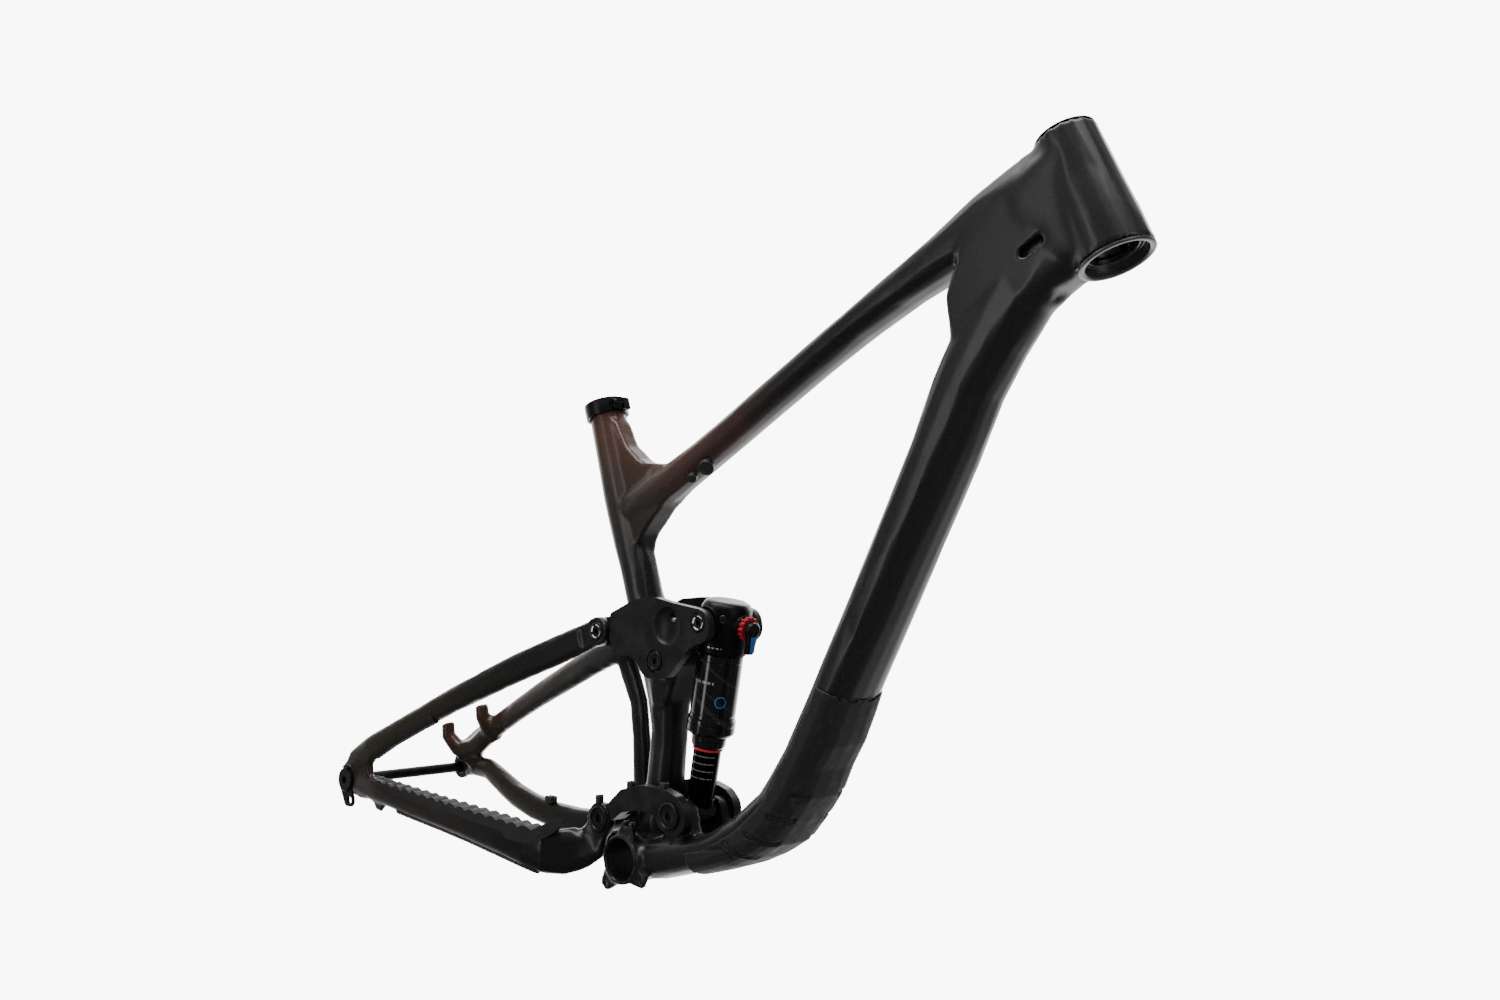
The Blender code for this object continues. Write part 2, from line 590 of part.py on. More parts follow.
# ---- rear triangle -------------------------------------------------------------
SEATSTAY = [(-438, -78, 28, 16, 4.2, 2.6), (-423, -78, 48, 17.4, 5, 2.6), (-393, -76.5, 67.5, 15, 6.6, 2.6),
            (-356, -72, 87, 12.8, 7.4, 2.6), (-308, -66, 110, 12.8, 7.8, 2.7), (-258, -60, 133, 13.8, 8, 2.7),
            (-209, -54, 154, 14.6, 8, 2.8), (-159, -47.5, 175, 15.4, 7.8, 2.8), (-110, -41, 193.5, 15.6, 7, 2.8),
            (-75, -37, 207, 15, 5.8, 2.8), (STAY[0], -35.6, STAY[1], 13.8, 4.9, 2.8)]
CHAINSTAY = [(-437, -78, 27, 14, 4.2, 2.6), (-408, -78.5, 23, 14.5, 5.5, 2.8), (-379, -78, 23, 13, 7.5, 3.0),
             (-340, -77, 18, 12.4, 8.6, 3.0), (-300, -76, 14.5, 12.6, 9.2, 3.0), (-250, -75, 11, 13.4, 10, 3.0),
             (-200, -74, 7, 14.4, 10.5, 3.0), (-150, -72.5, 2.5, 16.4, 10.8, 3.0), (-110, -70, -1, 19, 10.8, 3.0),
             (-88, -66, -3, 21.4, 10, 3.0), (-72, -56, -2, 22.6, 8.5, 3.0), (-60, -45, 2, 22, 7, 3.0),
             (-50, -36.5, 8, 20.4, 6, 2.8), (-44, -33.5, 24, 15, 4.8, 2.8)]
LEFT_STAY = [(-440, -78, 27, 12, 4.2, 2.6), (-410, -76.5, 31, 12, 5.5, 2.6), (-376, -74, 32, 13, 7.5, 2.8),
             (-346, -72, 21, 14, 8.6, 2.8), (-316, -71, 9, 14.4, 9.5, 2.8), (-282, -70, 1, 14.6, 10, 2.8),
             (-245, -69.5, -4, 15, 10.2, 2.8), (-200, -69, -5, 15.5, 10.2, 2.8), (-150, -69, -4, 17, 10.4, 2.8),
             (-110, -68, -4, 19, 10.4, 2.8), (-88, -64, -3, 20, 9.5, 3.0), (-72, -55, -2, 21.5, 8.5, 3.0),
             (-60, -45, 2, 21, 7, 3.0), (-50, -36.5, 10, 18.5, 6, 2.8), (-44, -33.5, 24, 15, 4.8, 2.8)]
STRUT = [(-100, 43, 192, 13, 7, 2.6), (-90, 45, 168, 13, 7, 2.6), (-79, 47.5, 140, 11.8, 6.5, 2.7),
         (-76, 50, 100, 11.6, 6.5, 2.7), (-77, 54, 50, 12.5, 7, 2.7), (-80, 58, 5, 15, 8, 2.7)]
POSTS = ((-441.0, 81.0), (-373.0, 109.0))
POST_Y = 58.0


def brake_posts():
    """Two bosses for the disc brake, carried by the left stays."""
    pieces = [loft("p1", [(-441, POST_Y, 86, 7.5, 8, 2.6), (-440, POST_Y + 1, 66, 8.5, 8, 2.6),
                          (-428, POST_Y + 8, 50, 10, 8, 2.6), (-404, POST_Y + 14, 40, 10, 7, 2.6)], 16),
              loft("p2", [(-373, POST_Y, 114, 7.5, 8, 2.6), (-371, POST_Y + 1, 96, 8.5, 8, 2.6),
                          (-366, POST_Y + 9, 78, 10, 8, 2.6), (-362, POST_Y + 14, 66, 10, 7, 2.6)], 16),
              loft("p3", [(-424, POST_Y + 9, 48, 11, 7, 2.6), (-398, POST_Y + 10, 55, 12, 7, 2.6),
                          (-366, POST_Y + 10, 78, 12, 7, 2.6), (-345, POST_Y + 10, 88, 9, 7, 2.6)], 16)]
    return pieces


def rear_triangle():
    drops = [pin_y("d", AXLE, 16.5, -DROP_OUT - 2, -DROP_IN + 4, 28), pin_y("d", AXLE, 14.5, DROP_IN - 4, DROP_OUT + 4, 28)]
    eyes = [pin_y("e", STAY, 15, s * STAY_IN - s * 3, s * (STAY_OUT + 3), 28) for s in (-1, 1)]
    ears = [pin_y("r", REAR, 17, s * (EAR_IN - 3), s * (EAR_OUT + 3), 28) for s in (-1, 1)]
    bridge = box("b", (-74, -50, -13), (-62, 50, 13))
    bevel(bridge, 3.0, 2)
    corner = pin_y("k", (-405, 40), 15, -82, -73.5, 20)
    tab = plate("t", rounded([(-388, 15, 3), (-356, 12, 3), (-367, -3, 4), (-375, -1, 4)]), -81, -75)
    ob = moulded("rear_triangle", drops + eyes + ears + [bridge, tab, corner, loft("s", SEATSTAY, 24),
                 loft("s", mirror_y(SEATSTAY), 24), loft("c", CHAINSTAY, 24), loft("c", mirror_y(LEFT_STAY), 24),
                 loft("u", STRUT, 20)] + brake_posts(), 2.4, 5, 2000)
    skin = duplicate(ob)
    for s in (-1, 1):
        lo, hi = sorted((0, s * DROP_IN))
        cut(ob, pin_y("c", AXLE, 17.5, lo, hi, 32))
        lo, hi = sorted((s * (DRIVE_OUT if s < 0 else DROP_OUT), s * 100))
        cut(ob, pin_y("c", AXLE, 16.6 if s < 0 else 20, lo, hi, 32))
        if s < 0:
            cut(ob, plate("c", hanger_outline(0.8), lo, hi))
        lo, hi = sorted((0, s * STAY_IN))
        cut(ob, pin_y("c", STAY, 21, lo, hi, 32))
        lo, hi = sorted((s * STAY_OUT, s * 70))
        cut(ob, pin_y("c", STAY, 26, lo, hi, 32))
        lo, hi = sorted((0, s * EAR_IN))
        cut(ob, pin_y("c", REAR, 19.5, lo, hi, 32))
        lo, hi = sorted((s * EAR_OUT, s * 44))
        cut(ob, pin_y("c", REAR, 18.5, lo, hi, 32))
        cut(ob, bore(REAR, s, [(20, 0), (EAR_OUT - 2.0, PIVOT_R + FIT), (60, 13.2 + FIT)], FINE))
        cut(ob, bore(STAY, s, [(25, 0), (STAY_OUT - 3.0, 5.0 + FIT), (60, 9.2 + FIT)]))
    cut(ob, pin_y("c", AXLE, AXLE_DIA / 2 + GAP, 60, 120, 24))
    cut(ob, pin_y("c", AXLE, 8.5 + FIT, -120, -60, 24))
    for x, z in POSTS:
        lean = (-0.38, 0.0, 0.925)
        cut(ob, rod("c", (x, POST_Y, z), lean, 16, 0, 30, 16))
        cut(ob, rod("c", (x, POST_Y, z), lean, 2.6, -14, 5, 12))
    return keep_largest(ob), skin


def ribbed_guard(rear):
    """Rubber strip with crosswise ribs along the top of the drive-side chainstay."""
    ribs, x0, x1 = 17, -392.0, -96.0
    outline = []
    top = lambda x: 32.8 - (x + 392) * 0.048
    steps = 4
    for k in range(ribs):
        for j in range(steps):
            f = (k + j / steps) / ribs
            x = x0 + (x1 - x0) * f
            outline.append((x, top(x) + 3.6 * math.sin(math.pi * j / steps)))
    outline.append((x1, top(x1)))
    outline += [(-80, 27), (-62, 36), (-58, 33), (-78, 14), (x1, 4), (-200, 8), (-300, 12), (x0, 22)]
    ob = plate("g", outline, -83.5, -61.5)
    clip = loft("k", [(-400, -77.5, 26, 30, 10.4, 4.0), (-250, -75.2, 15, 30, 10.4, 4.0),
                      (-110, -70.5, 8, 34, 10.8, 4.0), (-88, -66, 6, 34, 10.5, 4.0), (-66, -52.5, 10, 34, 9, 4.0),
                      (-56, -44, 12, 34, 8, 4.0)], 16)
    combine(ob, clip, "INTERSECT")
    cut(ob, swollen(rear, GAP))
    return keep_largest(ob)


def stay_strip(rear, stations, drop, sides=16):
    """Thin rubber strip held a clearance away from the stay it covers."""
    strip = loft("strip", [(x, y, z + drop, a, b, e) for x, y, z, a, b, e in stations], sides)
    cut(strip, swollen(rear, GAP))
    return keep_largest(strip)


def hanger_outline(grow=0.0):
    g = grow
    return rounded([(AXLE[0] - 14.6 - g, AXLE[1] + 14.6 + g, 14.4 + g), (AXLE[0] + 14.6 + g, AXLE[1] + 14.6 + g, 14.4 + g),
                    (AXLE[0] + 13 + g, AXLE[1] - 13, 6), (AXLE[0] + 18 + g, AXLE[1] - 29.5 - g, 7),
                    (AXLE[0] - 1 - g, AXLE[1] - 30.5 - g, 7), (AXLE[0] - 12 - g, AXLE[1] - 12, 6)], 5)


def hanger():
    ob = plate("h", hanger_outline(), -HANGER_OUT, -DRIVE_OUT - GAP, 0.5)
    cut(ob, pin_y("c", AXLE, 8.5 + FIT, -120, -60, 24))
    cut(ob, pin_y("c", (AXLE[0] + 8, AXLE[1] - 22.5), 4.6, -120, -60, 16))
    return ob


def hanger_bolt():
    """Hollow threaded sleeve: the rear axle ends inside it."""
    y = -HANGER_OUT - FIT
    prof = [(y - 2.6, 4.2), (y - 2.6, 12.6), (y - 1.9, 13.6), (y, 13.6), (y, 8.5), (-DROP_IN - 0.2, 8.5),
            (-DROP_IN - 0.2, AXLE_DIA / 2 + GAP), (y + 0.2, AXLE_DIA / 2 + GAP), (y + 0.2, 4.2)]
    return turned("hb", (AXLE[0], 0, AXLE[1]), (0, 1, 0), prof, 24, ring=True)


def rear_axle():
    y = -HANGER_OUT + 1.2
    prof = [(y, 0), (y, 5.0), (y + 1, 6.0), (DROP_OUT + 0.5, 6.0), (DROP_OUT + 0.5, 9.5), (DROP_OUT + 6, 9.5),
            (DROP_OUT + 7, 8.5), (DROP_OUT + 7, 3.4), (DROP_OUT + 1.5, 3.4), (DROP_OUT + 1.5, 0)]
    return turned("ax", (AXLE[0], 0, AXLE[1]), (0, 1, 0), prof, 24)


# ---- links ---------------------------------------------------------------------
def rocker_link():
    outline = rounded([(-31, 236, 4), (4, 251, 14), (34, 254, 18), (60, 249.5, 18), (105.5, 244, 15.4), (110, 216.5, 15.4),
                       (84, 210, 10), (52, 177, 15), (20, 176, 15), (6, 195, 16), (-26, 197, 4), (-33, 214, 8)], 4)
    tongue = rounded([(STAY[0] - 12, STAY[1] + 12, 11.9), (-14, 236, 5), (-14, 200, 5),
                      (STAY[0] - 12, STAY[1] - 12, 11.9)], 5)
    ob = None
    for s in (-1, 1):
        p = plate("p", outline, s * ROCK_IN, s * ROCK_OUT)
        # seat for the round end of the seatstay
        cut(p, pin_y("c", STAY, 16.3, *sorted((s * (TONGUE_OUT + 0.2), s * 60)), 32))
        bevel(p, 1.0, 1, 50)
        q = plate("q", tongue, s * TONGUE_IN, s * TONGUE_OUT)
        add(p, q)
        ob = p if ob is None else add(ob, p)
    add(ob, rod("b", (38, 0, 227), (0, 1, 0), 7.0, -ROCK_IN - 3, ROCK_IN + 3, 16))
    for s in (-1, 1):
        far = s * 60
        cut(ob, turned("c", (54, s * (ROCK_OUT + 8), 226.5), (0.0, -s, 0.12),
                       [(-1, 0), (-1, 17.5), (8, 14.5), (12.2, 10), (12.2, 0)], 24))
        cut(ob, rod("c", (54, 0, 236), (0, s, 0), 4.2, 20, 60, 14))
        cut(ob, pin_y("c", MAIN, BEAR_R + FIT, *sorted((s * 20, far)), FINE))
        cut(ob, pin_y("c", TRUN, BEAR_R - 1.5 + FIT, *sorted((s * 20, far)), 24))
        cut(ob, bore(STAY, s, [(15, 0), (TONGUE_IN + 1.5, 5.4), (60, 8.5 + FIT)]))
    return keep_largest(ob)


def lower_link():
    arch = rounded([(-31, 46, 6), (-8, 66, 14), (22, 74, 22), (52, 74, 14), (70, 69.5, 12), (83.5, 58, 18),
                    (82, 38, 18), (66, 30, 16), (49, 36, 12), (40, 48, 10), (20, 50, 14), (-6, 44, 10),
                    (-20, 34, 6), (-36, 32, 3)], 4)
    ob = rod("barrel", (REAR[0], 0, REAR[1]), (0, 1, 0), 13.0, -BARREL, BARREL, 28)
    for s in (-1, 1):
        p = plate("p", arch, s * 20.5, s * LINK_OUT)
        cut(p, pin_y("c", REAR, 18.0, *sorted((s * (BARREL - 0.4), s * 60)), 32))
        cut(p, box("c", (-12, min(0, s * LINK_IN), 0), (120, max(0, s * LINK_IN), 120)))
        add(ob, p)
    seat = BARREL - BEAR_W
    cut(ob, bore(REAR, 1, [(-60, 0), (-seat, BARREL_BEAR_R + FIT), (seat, PIVOT_R + OPEN), (60, BARREL_BEAR_R + FIT)],
                 FINE))
    for s in (-1, 1):
        cut(ob, pin_y("c", EYE, BEAR_R + FIT, *sorted((s * 20, s * 60)), FINE))
    return keep_largest(ob)


# ---- shock ---------------------------------------------------------------------
def shock_head():
    ob = turned("sh", SHOCK_BASE, SHOCK_AXIS, [(-21, 0), (-21, 17), (-19, 21.5), (-14, 24.3), (-2, 24.6), (26, 24.6),
                                               (29, 23.6), (29, 19), (24, 19), (24, 0)], 32)
    lug = pin_y("t", TRUN, 15.5, -TRUNNION / 2, TRUNNION / 2, 28)
    add(ob, lug)
    fore = Vector(SHOCK_FORE)
    nose = rod("n", SHOCK_BASE, SHOCK_FORE, 12.5, 0, 27.5, 24)
    add(ob, nose)
    bleed = plug_seat()
    add(ob, rod("p", bleed[0], bleed[1], 6.2, -8, 0, 20))
    cut(ob, rod("c", bleed[0], bleed[1], 4.2 + FIT, -3, 4, 20))
    for s in (-1, 1):
        cut(ob, pin_y("c", TRUN, 5.0 + FIT, *sorted((s * 13, s * 40)), 20))
    cut(ob, rod("c", SHOCK_BASE, SHOCK_FORE, 4.0 + GAP, 14, 40, 20))
    return ob


def plug_seat():
    """Centre and direction of the bleed plug on the front-right of the shock head."""
    out = (Vector(SHOCK_FORE) * 0.62 + Vector((0, -0.78, 0))).normalized()
    at = Vector(SHOCK_BASE) + out * 26.0 + Vector(SHOCK_AXIS).normalized() * -6.0
    return at, out


def shock_pieces():
    base, axis = SHOCK_BASE, SHOCK_AXIS
    can = turned("can", base, axis, [(29.3, 0), (29.3, 22.0), (92, 22.0), (93.5, 23.4), (105, 23.4), (108, 21),
                                     (108, 17), (118.5, 16.4), (120.5, 15.4), (120.5, 13.4 + GAP), (98, 13.4 + GAP),
                                     (98, 16), (34, 16), (34, 0)], 32)
    valve_at = Vector(base) + Vector(axis).normalized() * 99 - Vector(SHOCK_FORE) * 22.0
    valve = turned("v", valve_at, -Vector(SHOCK_FORE), [(1.4, 0), (1.4, 4.4), (6.5, 4.2), (7.3, 3.4), (7.3, 0)], 16)
    ring = turned("ring", base, axis, [(121.0, 13.7), (121.0, 14.5), (123.4, 14.5), (123.4, 13.7)], 28, ring=True)
    eye = pin_y("eye", EYE, 12.6, -EYE_HALF, EYE_HALF, 28)
    shaft = turned("shaft", base, axis, [(86, 0), (86, 13.4), (171, 13.4), (173, 13.8), (175.5, 13.8), (176.5, 12.6),
                                         (181, 10.5), (181, 0)], 28)
    add(shaft, eye)
    cut(shaft, pin_y("c", EYE, BUSH_R + FIT, -30, 30, FINE))
    bushing = washer("bush", EYE, PIVOT_R + OPEN, BUSH_R, -EYE_HALF - 0.4, EYE_HALF + 0.4, FINE)
    seat = plug_seat()
    bleed = turned("bp", seat[0], seat[1], [(-2.7, 0), (-2.7, 4.2), (0.5, 4.2), (1.0, 3.7), (1.0, 1.4), (-0.4, 1.4),
                                            (-0.4, 0)], 16)
    return can, valve, ring, shaft, bushing, bleed


def rebound_dial():
    """Knurled red ring turning on the nose of the shock head."""
    bm = bmesh.new()
    rot, base = frame_of(SHOCK_FORE), Vector(SHOCK_BASE)
    teeth = 14
    rings = []
    for s, r_in in ((27.9, None), (33.4, None)):
        ring = []
        for k in range(teeth * 4):
            r = 11.8 if k % 4 < 2 else 10.6
            a = 2 * math.pi * k / (teeth * 4)
            ring.append(bm.verts.new((base + rot @ Vector((r * math.cos(a), r * math.sin(a), s))) * MM))
        rings.append(ring)
    count = teeth * 4
    for k in range(count):
        bm.faces.new((rings[0][k], rings[0][(k + 1) % count], rings[1][(k + 1) % count], rings[1][k]))
    bm.faces.new(rings[0])
    bm.faces.new(rings[1][::-1])
    ob = new_object("dial", bm)
    return cut(ob, rod("c", SHOCK_BASE, SHOCK_FORE, 4.0 + GAP, 20, 50, 20))


def lock_lever():
    """Lever with a hub in front of the dial and a blade hanging down."""
    ob = turned("lever", SHOCK_BASE, SHOCK_FORE, [(15, 0), (15, 4.0), (33.9, 4.0), (33.9, 7.6), (39.0, 7.2), (40.2, 5.8),
                                                  (40.2, 0)], 20)
    down = Vector(SHOCK_AXIS).normalized()
    fore = Vector(SHOCK_FORE)
    bm = bmesh.new()
    bmesh.ops.create_cube(bm, size=1.0)
    for v in bm.verts:
        s = 0.0 if v.co.z < 0 else 23.5
        half = (6.6 if v.co.z < 0 else 4.2) * (1 if v.co.y > 0 else -1)
        f = (34.2 if v.co.x < 0 else 39.6) - (1.6 if v.co.z > 0 else 0.0)
        v.co = (Vector(SHOCK_BASE) + fore * f + Vector((0, half, 0)) + down * s) * MM
    blade = bevel(new_object("blade", bm), 1.2, 2)
    return add(ob, blade)


# ---- bolts, pins, bearings, clips ------------------------------------------------
def cap_bolt(name, xz, side, y_under, head_r, head_h, shank_r, shank_len, hexa=3.0, sides=24):
    """Bolt whose head sits outside y_under on the given side."""
    prof = [(-shank_len, 0), (-shank_len, shank_r), (0, shank_r), (0, head_r), (head_h - 0.6, head_r),
            (head_h, head_r - 0.7), (head_h, hexa), (head_h - 2.0, hexa), (head_h - 2.0, 0)]
    return turned(name, (xz[0], side * y_under, xz[1]), (0, side, 0), prof, sides)


def clip(at, size):
    ob = box("clip", tuple(at[i] - size[i] / 2 for i in range(3)), tuple(at[i] + size[i] / 2 for i in range(3)))
    return bevel(ob, min(size) * 0.22, 2)


def hang(pivot_name, xz, nodes):
    """Parent a moving body's pieces to an empty on its pivot."""
    empty = bpy.data.objects.new(pivot_name, None)
    empty.location = (xz[0] * MM, 0, xz[1] * MM)
    bpy.context.scene.collection.objects.link(empty)
    bpy.context.view_layer.update()
    for name in nodes:
        ob = bpy.data.objects[name]
        ob.parent = empty
        ob.matrix_parent_inverse = empty.matrix_world.inverted()


def both_sides(stem):
    return [stem + "left", stem + "right"]


def hang_moving_bodies():
    hang("rocker_pivot", MAIN, ["rocker_link"] + both_sides("main_bearing_") + both_sides("trunnion_bearing_")
         + both_sides("seatstay_bearing_"))
    hang("stay_pivot", STAY, ["rear_triangle", "chainstay_guard", "chainstay_under_strip", "seatstay_guard",
                              "derailleur_hanger", "hanger_bolt", "lower_rear_axle", "cable_clip_chainstay",
                              "cable_clip_ear"] + both_sides("lower_rear_cap_") + both_sides("seatstay_bolt_"))
    hang("wheel_axis", AXLE, ["rear_axle"])
    hang("link_pivot", EYE, ["lower_link", "link_clip_front", "link_clip_rear"] + both_sides("link_front_bearing_")
         + both_sides("link_rear_bearing_"))
    hang("trunnion_pivot", TRUN, ["shock_head", "shock_air_can", "air_valve_cap", "travel_ring", "bleed_plug",
                                  "rebound_dial", "lock_lever"] + both_sides("trunnion_bolt_"))
    hang("shock_eye", EYE, ["shock_shaft", "shock_eye_bushing"])


def build():
    clear_scene()
    carbon = make_material("carbon_satin", (0.024, 0.025, 0.026), 0.42, 0.0)
    stay_paint = make_material("stay_paint", (0.075, 0.055, 0.042), 0.36, 0.2)
    link_black = make_material("link_black", (0.02, 0.02, 0.021), 0.45, 0.4)
    anodised = make_material("anodised", (0.03, 0.03, 0.03), 0.35, 0.9)
    bolt_steel = make_material("bolt_steel", (0.05, 0.05, 0.052), 0.4, 0.9)
    grey_alu = make_material("grey_alu", (0.18, 0.185, 0.19), 0.38, 0.9)
    rubber = make_material("rubber", (0.018, 0.018, 0.018), 0.75, 0.0)
    gloss = make_material("gloss_black", (0.008, 0.008, 0.009), 0.12, 0.5)
    red = make_material("red", (0.55, 0.02, 0.03), 0.35, 0.3)
    plastic = make_material("plastic", (0.02, 0.02, 0.02), 0.5, 0.0)
    bearing = make_material("bearing", (0.45, 0.45, 0.46), 0.3, 1.0)

    front, front_skin = front_triangle()
    guard = down_tube_guard(front_skin)
    remove(front_skin)
    name_it(front, "front_triangle", carbon)
    name_it(guard, "down_tube_guard", rubber)
    upper, lower = head_cups()
    name_it(upper, "head_cup_upper", anodised)
    name_it(lower, "head_cup_lower", grey_alu)
    collar, bolt = seat_clamp()
    name_it(collar, "seat_clamp", anodised)
    name_it(bolt, "seat_clamp_bolt", bolt_steel)
    for label, (centre, axis, r, depth) in zip(("large", "small"), TT_PLUGS):
        plug = turned("plug", centre, axis, [(-depth, 0), (-depth, r), (3.2, r), (3.8, r - 0.6), (3.8, 0)], 20)
        name_it(plug, "top_tube_plug_" + label, plastic)
    pin = pin_y("pin", MAIN, PIVOT_R, -ROCK_OUT + 3.2, ROCK_OUT - 3.2, FINE)
    name_it(pin, "main_pivot_axle", bolt_steel)
    for side, tag in ((-1, "right"), (1, "left")):
        cap = cap_bolt("cap", MAIN, side, ROCK_OUT - 2.8, 9.4, 3.2, 3.0, 0.0)
        name_it(cap, "main_pivot_cap_" + tag, bolt_steel)
    low_pin = pin_y("pin", EYE, PIVOT_R, -LINK_OUT + 3.0, LINK_OUT - 3.0, FINE)
    name_it(low_pin, "lower_front_axle", bolt_steel)
    for side, tag in ((-1, "right"), (1, "left")):
        cap = cap_bolt("cap", EYE, side, LINK_OUT + GAP, 13.0, 3.4, 3.0, 0.0, 4.0)
        name_it(cap, "lower_front_cap_" + tag, bolt_steel)

    rear, rear_skin = rear_triangle()
    ribbed = ribbed_guard(rear_skin)
    under = stay_strip(rear_skin, [(-330, -77, 17, 11.6, 7, 3.0), (-300, -76, 14.5, 12, 7.5, 3.0),
                              (-250, -75, 11, 12.8, 8, 3.0), (-200, -74, 7, 13.8, 8.4, 3.0),
                              (-150, -72.5, 2.5, 15.8, 8.6, 3.0), (-110, -70, -1, 18.4, 8.6, 3.0),
                              (-94, -67.5, -2.4, 20, 8, 3.0)], -3.6)
    stay_pad = stay_strip(rear_skin, [(-386, -76, 70, 12, 5, 2.8), (-356, -73, 86.5, 11.4, 5.6, 2.8),
                                 (-308, -68, 109, 11.2, 6, 2.8), (-286, -65.4, 119, 11.4, 6, 2.8)], -3.0)
    remove(rear_skin)
    name_it(rear, "rear_triangle", stay_paint)
    name_it(ribbed, "chainstay_guard", rubber)
    name_it(under, "chainstay_under_strip", rubber)
    name_it(stay_pad, "seatstay_guard", rubber)
    name_it(hanger(), "derailleur_hanger", anodised)
    name_it(hanger_bolt(), "hanger_bolt", anodised)
    name_it(rear_axle(), "rear_axle", anodised)
    pin = pin_y("pin", REAR, PIVOT_R, -EAR_OUT + 2.4, EAR_OUT - 2.4, FINE)
    name_it(pin, "lower_rear_axle", bolt_steel)
    for side, tag in ((-1, "right"), (1, "left")):
        cap = cap_bolt("cap", REAR, side, EAR_OUT - 1.9, 13.0, 3.2, 3.0, 0.0, 4.0)
        name_it(cap, "lower_rear_cap_" + tag, bolt_steel)
        bolt = cap_bolt("bolt", STAY, side, STAY_OUT - 2.9, 9.0, 3.6, 5.0, STAY_OUT - 2.9 - TONGUE_IN - 0.8)
        name_it(bolt, "seatstay_bolt_" + tag, bolt_steel)
    name_it(clip((-243, 64, 14.5), (13, 9, 7)), "cable_clip_chainstay", plastic)
    name_it(clip((-44, -33.5, 53.2), (6, 7, 5.4)), "cable_clip_ear", plastic)

    name_it(rocker_link(), "rocker_link", link_black)
    for side, tag in ((-1, "right"), (1, "left")):
        name_it(washer("b", MAIN, PIVOT_R + RUN, BEAR_R, side * (ROCK_IN - 0.8), side * (ROCK_OUT - 3.3), FINE),
                "main_bearing_" + tag, bearing)
        name_it(washer("b", TRUN, 5.0 + FIT, BEAR_R - 1.5, side * (ROCK_IN + 0.2), side * (ROCK_OUT - 3.4)),
                "trunnion_bearing_" + tag, bearing)
        name_it(washer("b", STAY, 5.0 + FIT, 8.5, side * (TONGUE_IN + 1.6), side * (TONGUE_OUT + 0.2)),
                "seatstay_bearing_" + tag, bearing)
    name_it(lower_link(), "lower_link", link_black)
    for side, tag in ((-1, "right"), (1, "left")):
        name_it(washer("b", EYE, PIVOT_R + RUN, BEAR_R, side * (LINK_IN - 0.2), side * (LINK_OUT - 1.5), FINE),
                "link_front_bearing_" + tag, bearing)
        name_it(washer("b", REAR, PIVOT_R + OPEN, BARREL_BEAR_R, side * (BARREL - BEAR_W + 0.1), side * (BARREL + 0.2),
                       FINE), "link_rear_bearing_" + tag, bearing)
    name_it(clip((2, -33, 72.4), (7, 7, 5)), "link_clip_rear", plastic)
    name_it(clip((49, -33, 77.0), (7, 7, 5)), "link_clip_front", plastic)

    name_it(shock_head(), "shock_head", anodised)
    can, valve, ring, shaft, bushing, bleed = shock_pieces()
    name_it(can, "shock_air_can", gloss)
    name_it(valve, "air_valve_cap", anodised)
    name_it(ring, "travel_ring", red)
    name_it(shaft, "shock_shaft", gloss)
    name_it(bushing, "shock_eye_bushing", bearing)
    name_it(bleed, "bleed_plug", bolt_steel)
    for side, tag in ((-1, "right"), (1, "left")):
        bolt = cap_bolt("bolt", TRUN, side, ROCK_OUT - 2.9, 8.8, 3.2, 5.0, ROCK_OUT - 2.9 - 16.0)
        name_it(bolt, "trunnion_bolt_" + tag, bolt_steel)
    name_it(rebound_dial(), "rebound_dial", red)
    name_it(lock_lever(), "lock_lever", anodised)
    hang_moving_bodies()


build()
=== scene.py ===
# %% [markdown]
# # A full-suspension bicycle frame
# The frame is a carbon front triangle, a carbon rear triangle, two links and an air shock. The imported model
# gives every piece its place and size. This lesson adds what the eye looks for: smooth moulded skins, turned
# bolts, the shock's fine parts and a finish for every surface. Everything is in metres, with +X forward, +Y
# to the rider's left, +Z up and the origin in the middle of the bottom bracket.

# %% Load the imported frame
import json
import math

import bpy
import bmesh
from mathutils import Matrix, Vector


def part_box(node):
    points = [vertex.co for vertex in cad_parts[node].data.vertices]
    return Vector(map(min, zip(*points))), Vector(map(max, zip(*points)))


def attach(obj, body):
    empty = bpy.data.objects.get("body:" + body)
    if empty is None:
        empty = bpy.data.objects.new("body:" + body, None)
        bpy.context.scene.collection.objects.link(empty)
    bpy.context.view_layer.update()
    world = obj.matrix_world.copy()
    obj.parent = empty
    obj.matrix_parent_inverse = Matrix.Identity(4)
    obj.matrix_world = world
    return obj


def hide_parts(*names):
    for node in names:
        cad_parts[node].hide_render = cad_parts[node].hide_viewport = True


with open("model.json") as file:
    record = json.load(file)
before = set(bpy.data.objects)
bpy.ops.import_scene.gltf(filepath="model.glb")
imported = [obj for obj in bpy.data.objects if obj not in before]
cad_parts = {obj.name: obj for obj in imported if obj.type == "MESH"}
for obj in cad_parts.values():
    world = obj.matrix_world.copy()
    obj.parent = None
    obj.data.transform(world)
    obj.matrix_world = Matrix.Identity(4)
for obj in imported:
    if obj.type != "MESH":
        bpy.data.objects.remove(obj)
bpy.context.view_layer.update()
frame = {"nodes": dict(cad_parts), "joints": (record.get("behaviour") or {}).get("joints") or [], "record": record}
MM = 0.001

# %% [markdown]
# ## Reference points
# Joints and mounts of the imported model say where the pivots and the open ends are, so those places aren't
# typed again.

# %% Reference points
joint = {j["name"]: j for j in frame["joints"]}
mount = {m["name"]: m for m in frame["record"]["mounts"]}


def middle(name):
    low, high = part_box(name)
    return (low + high) / 2


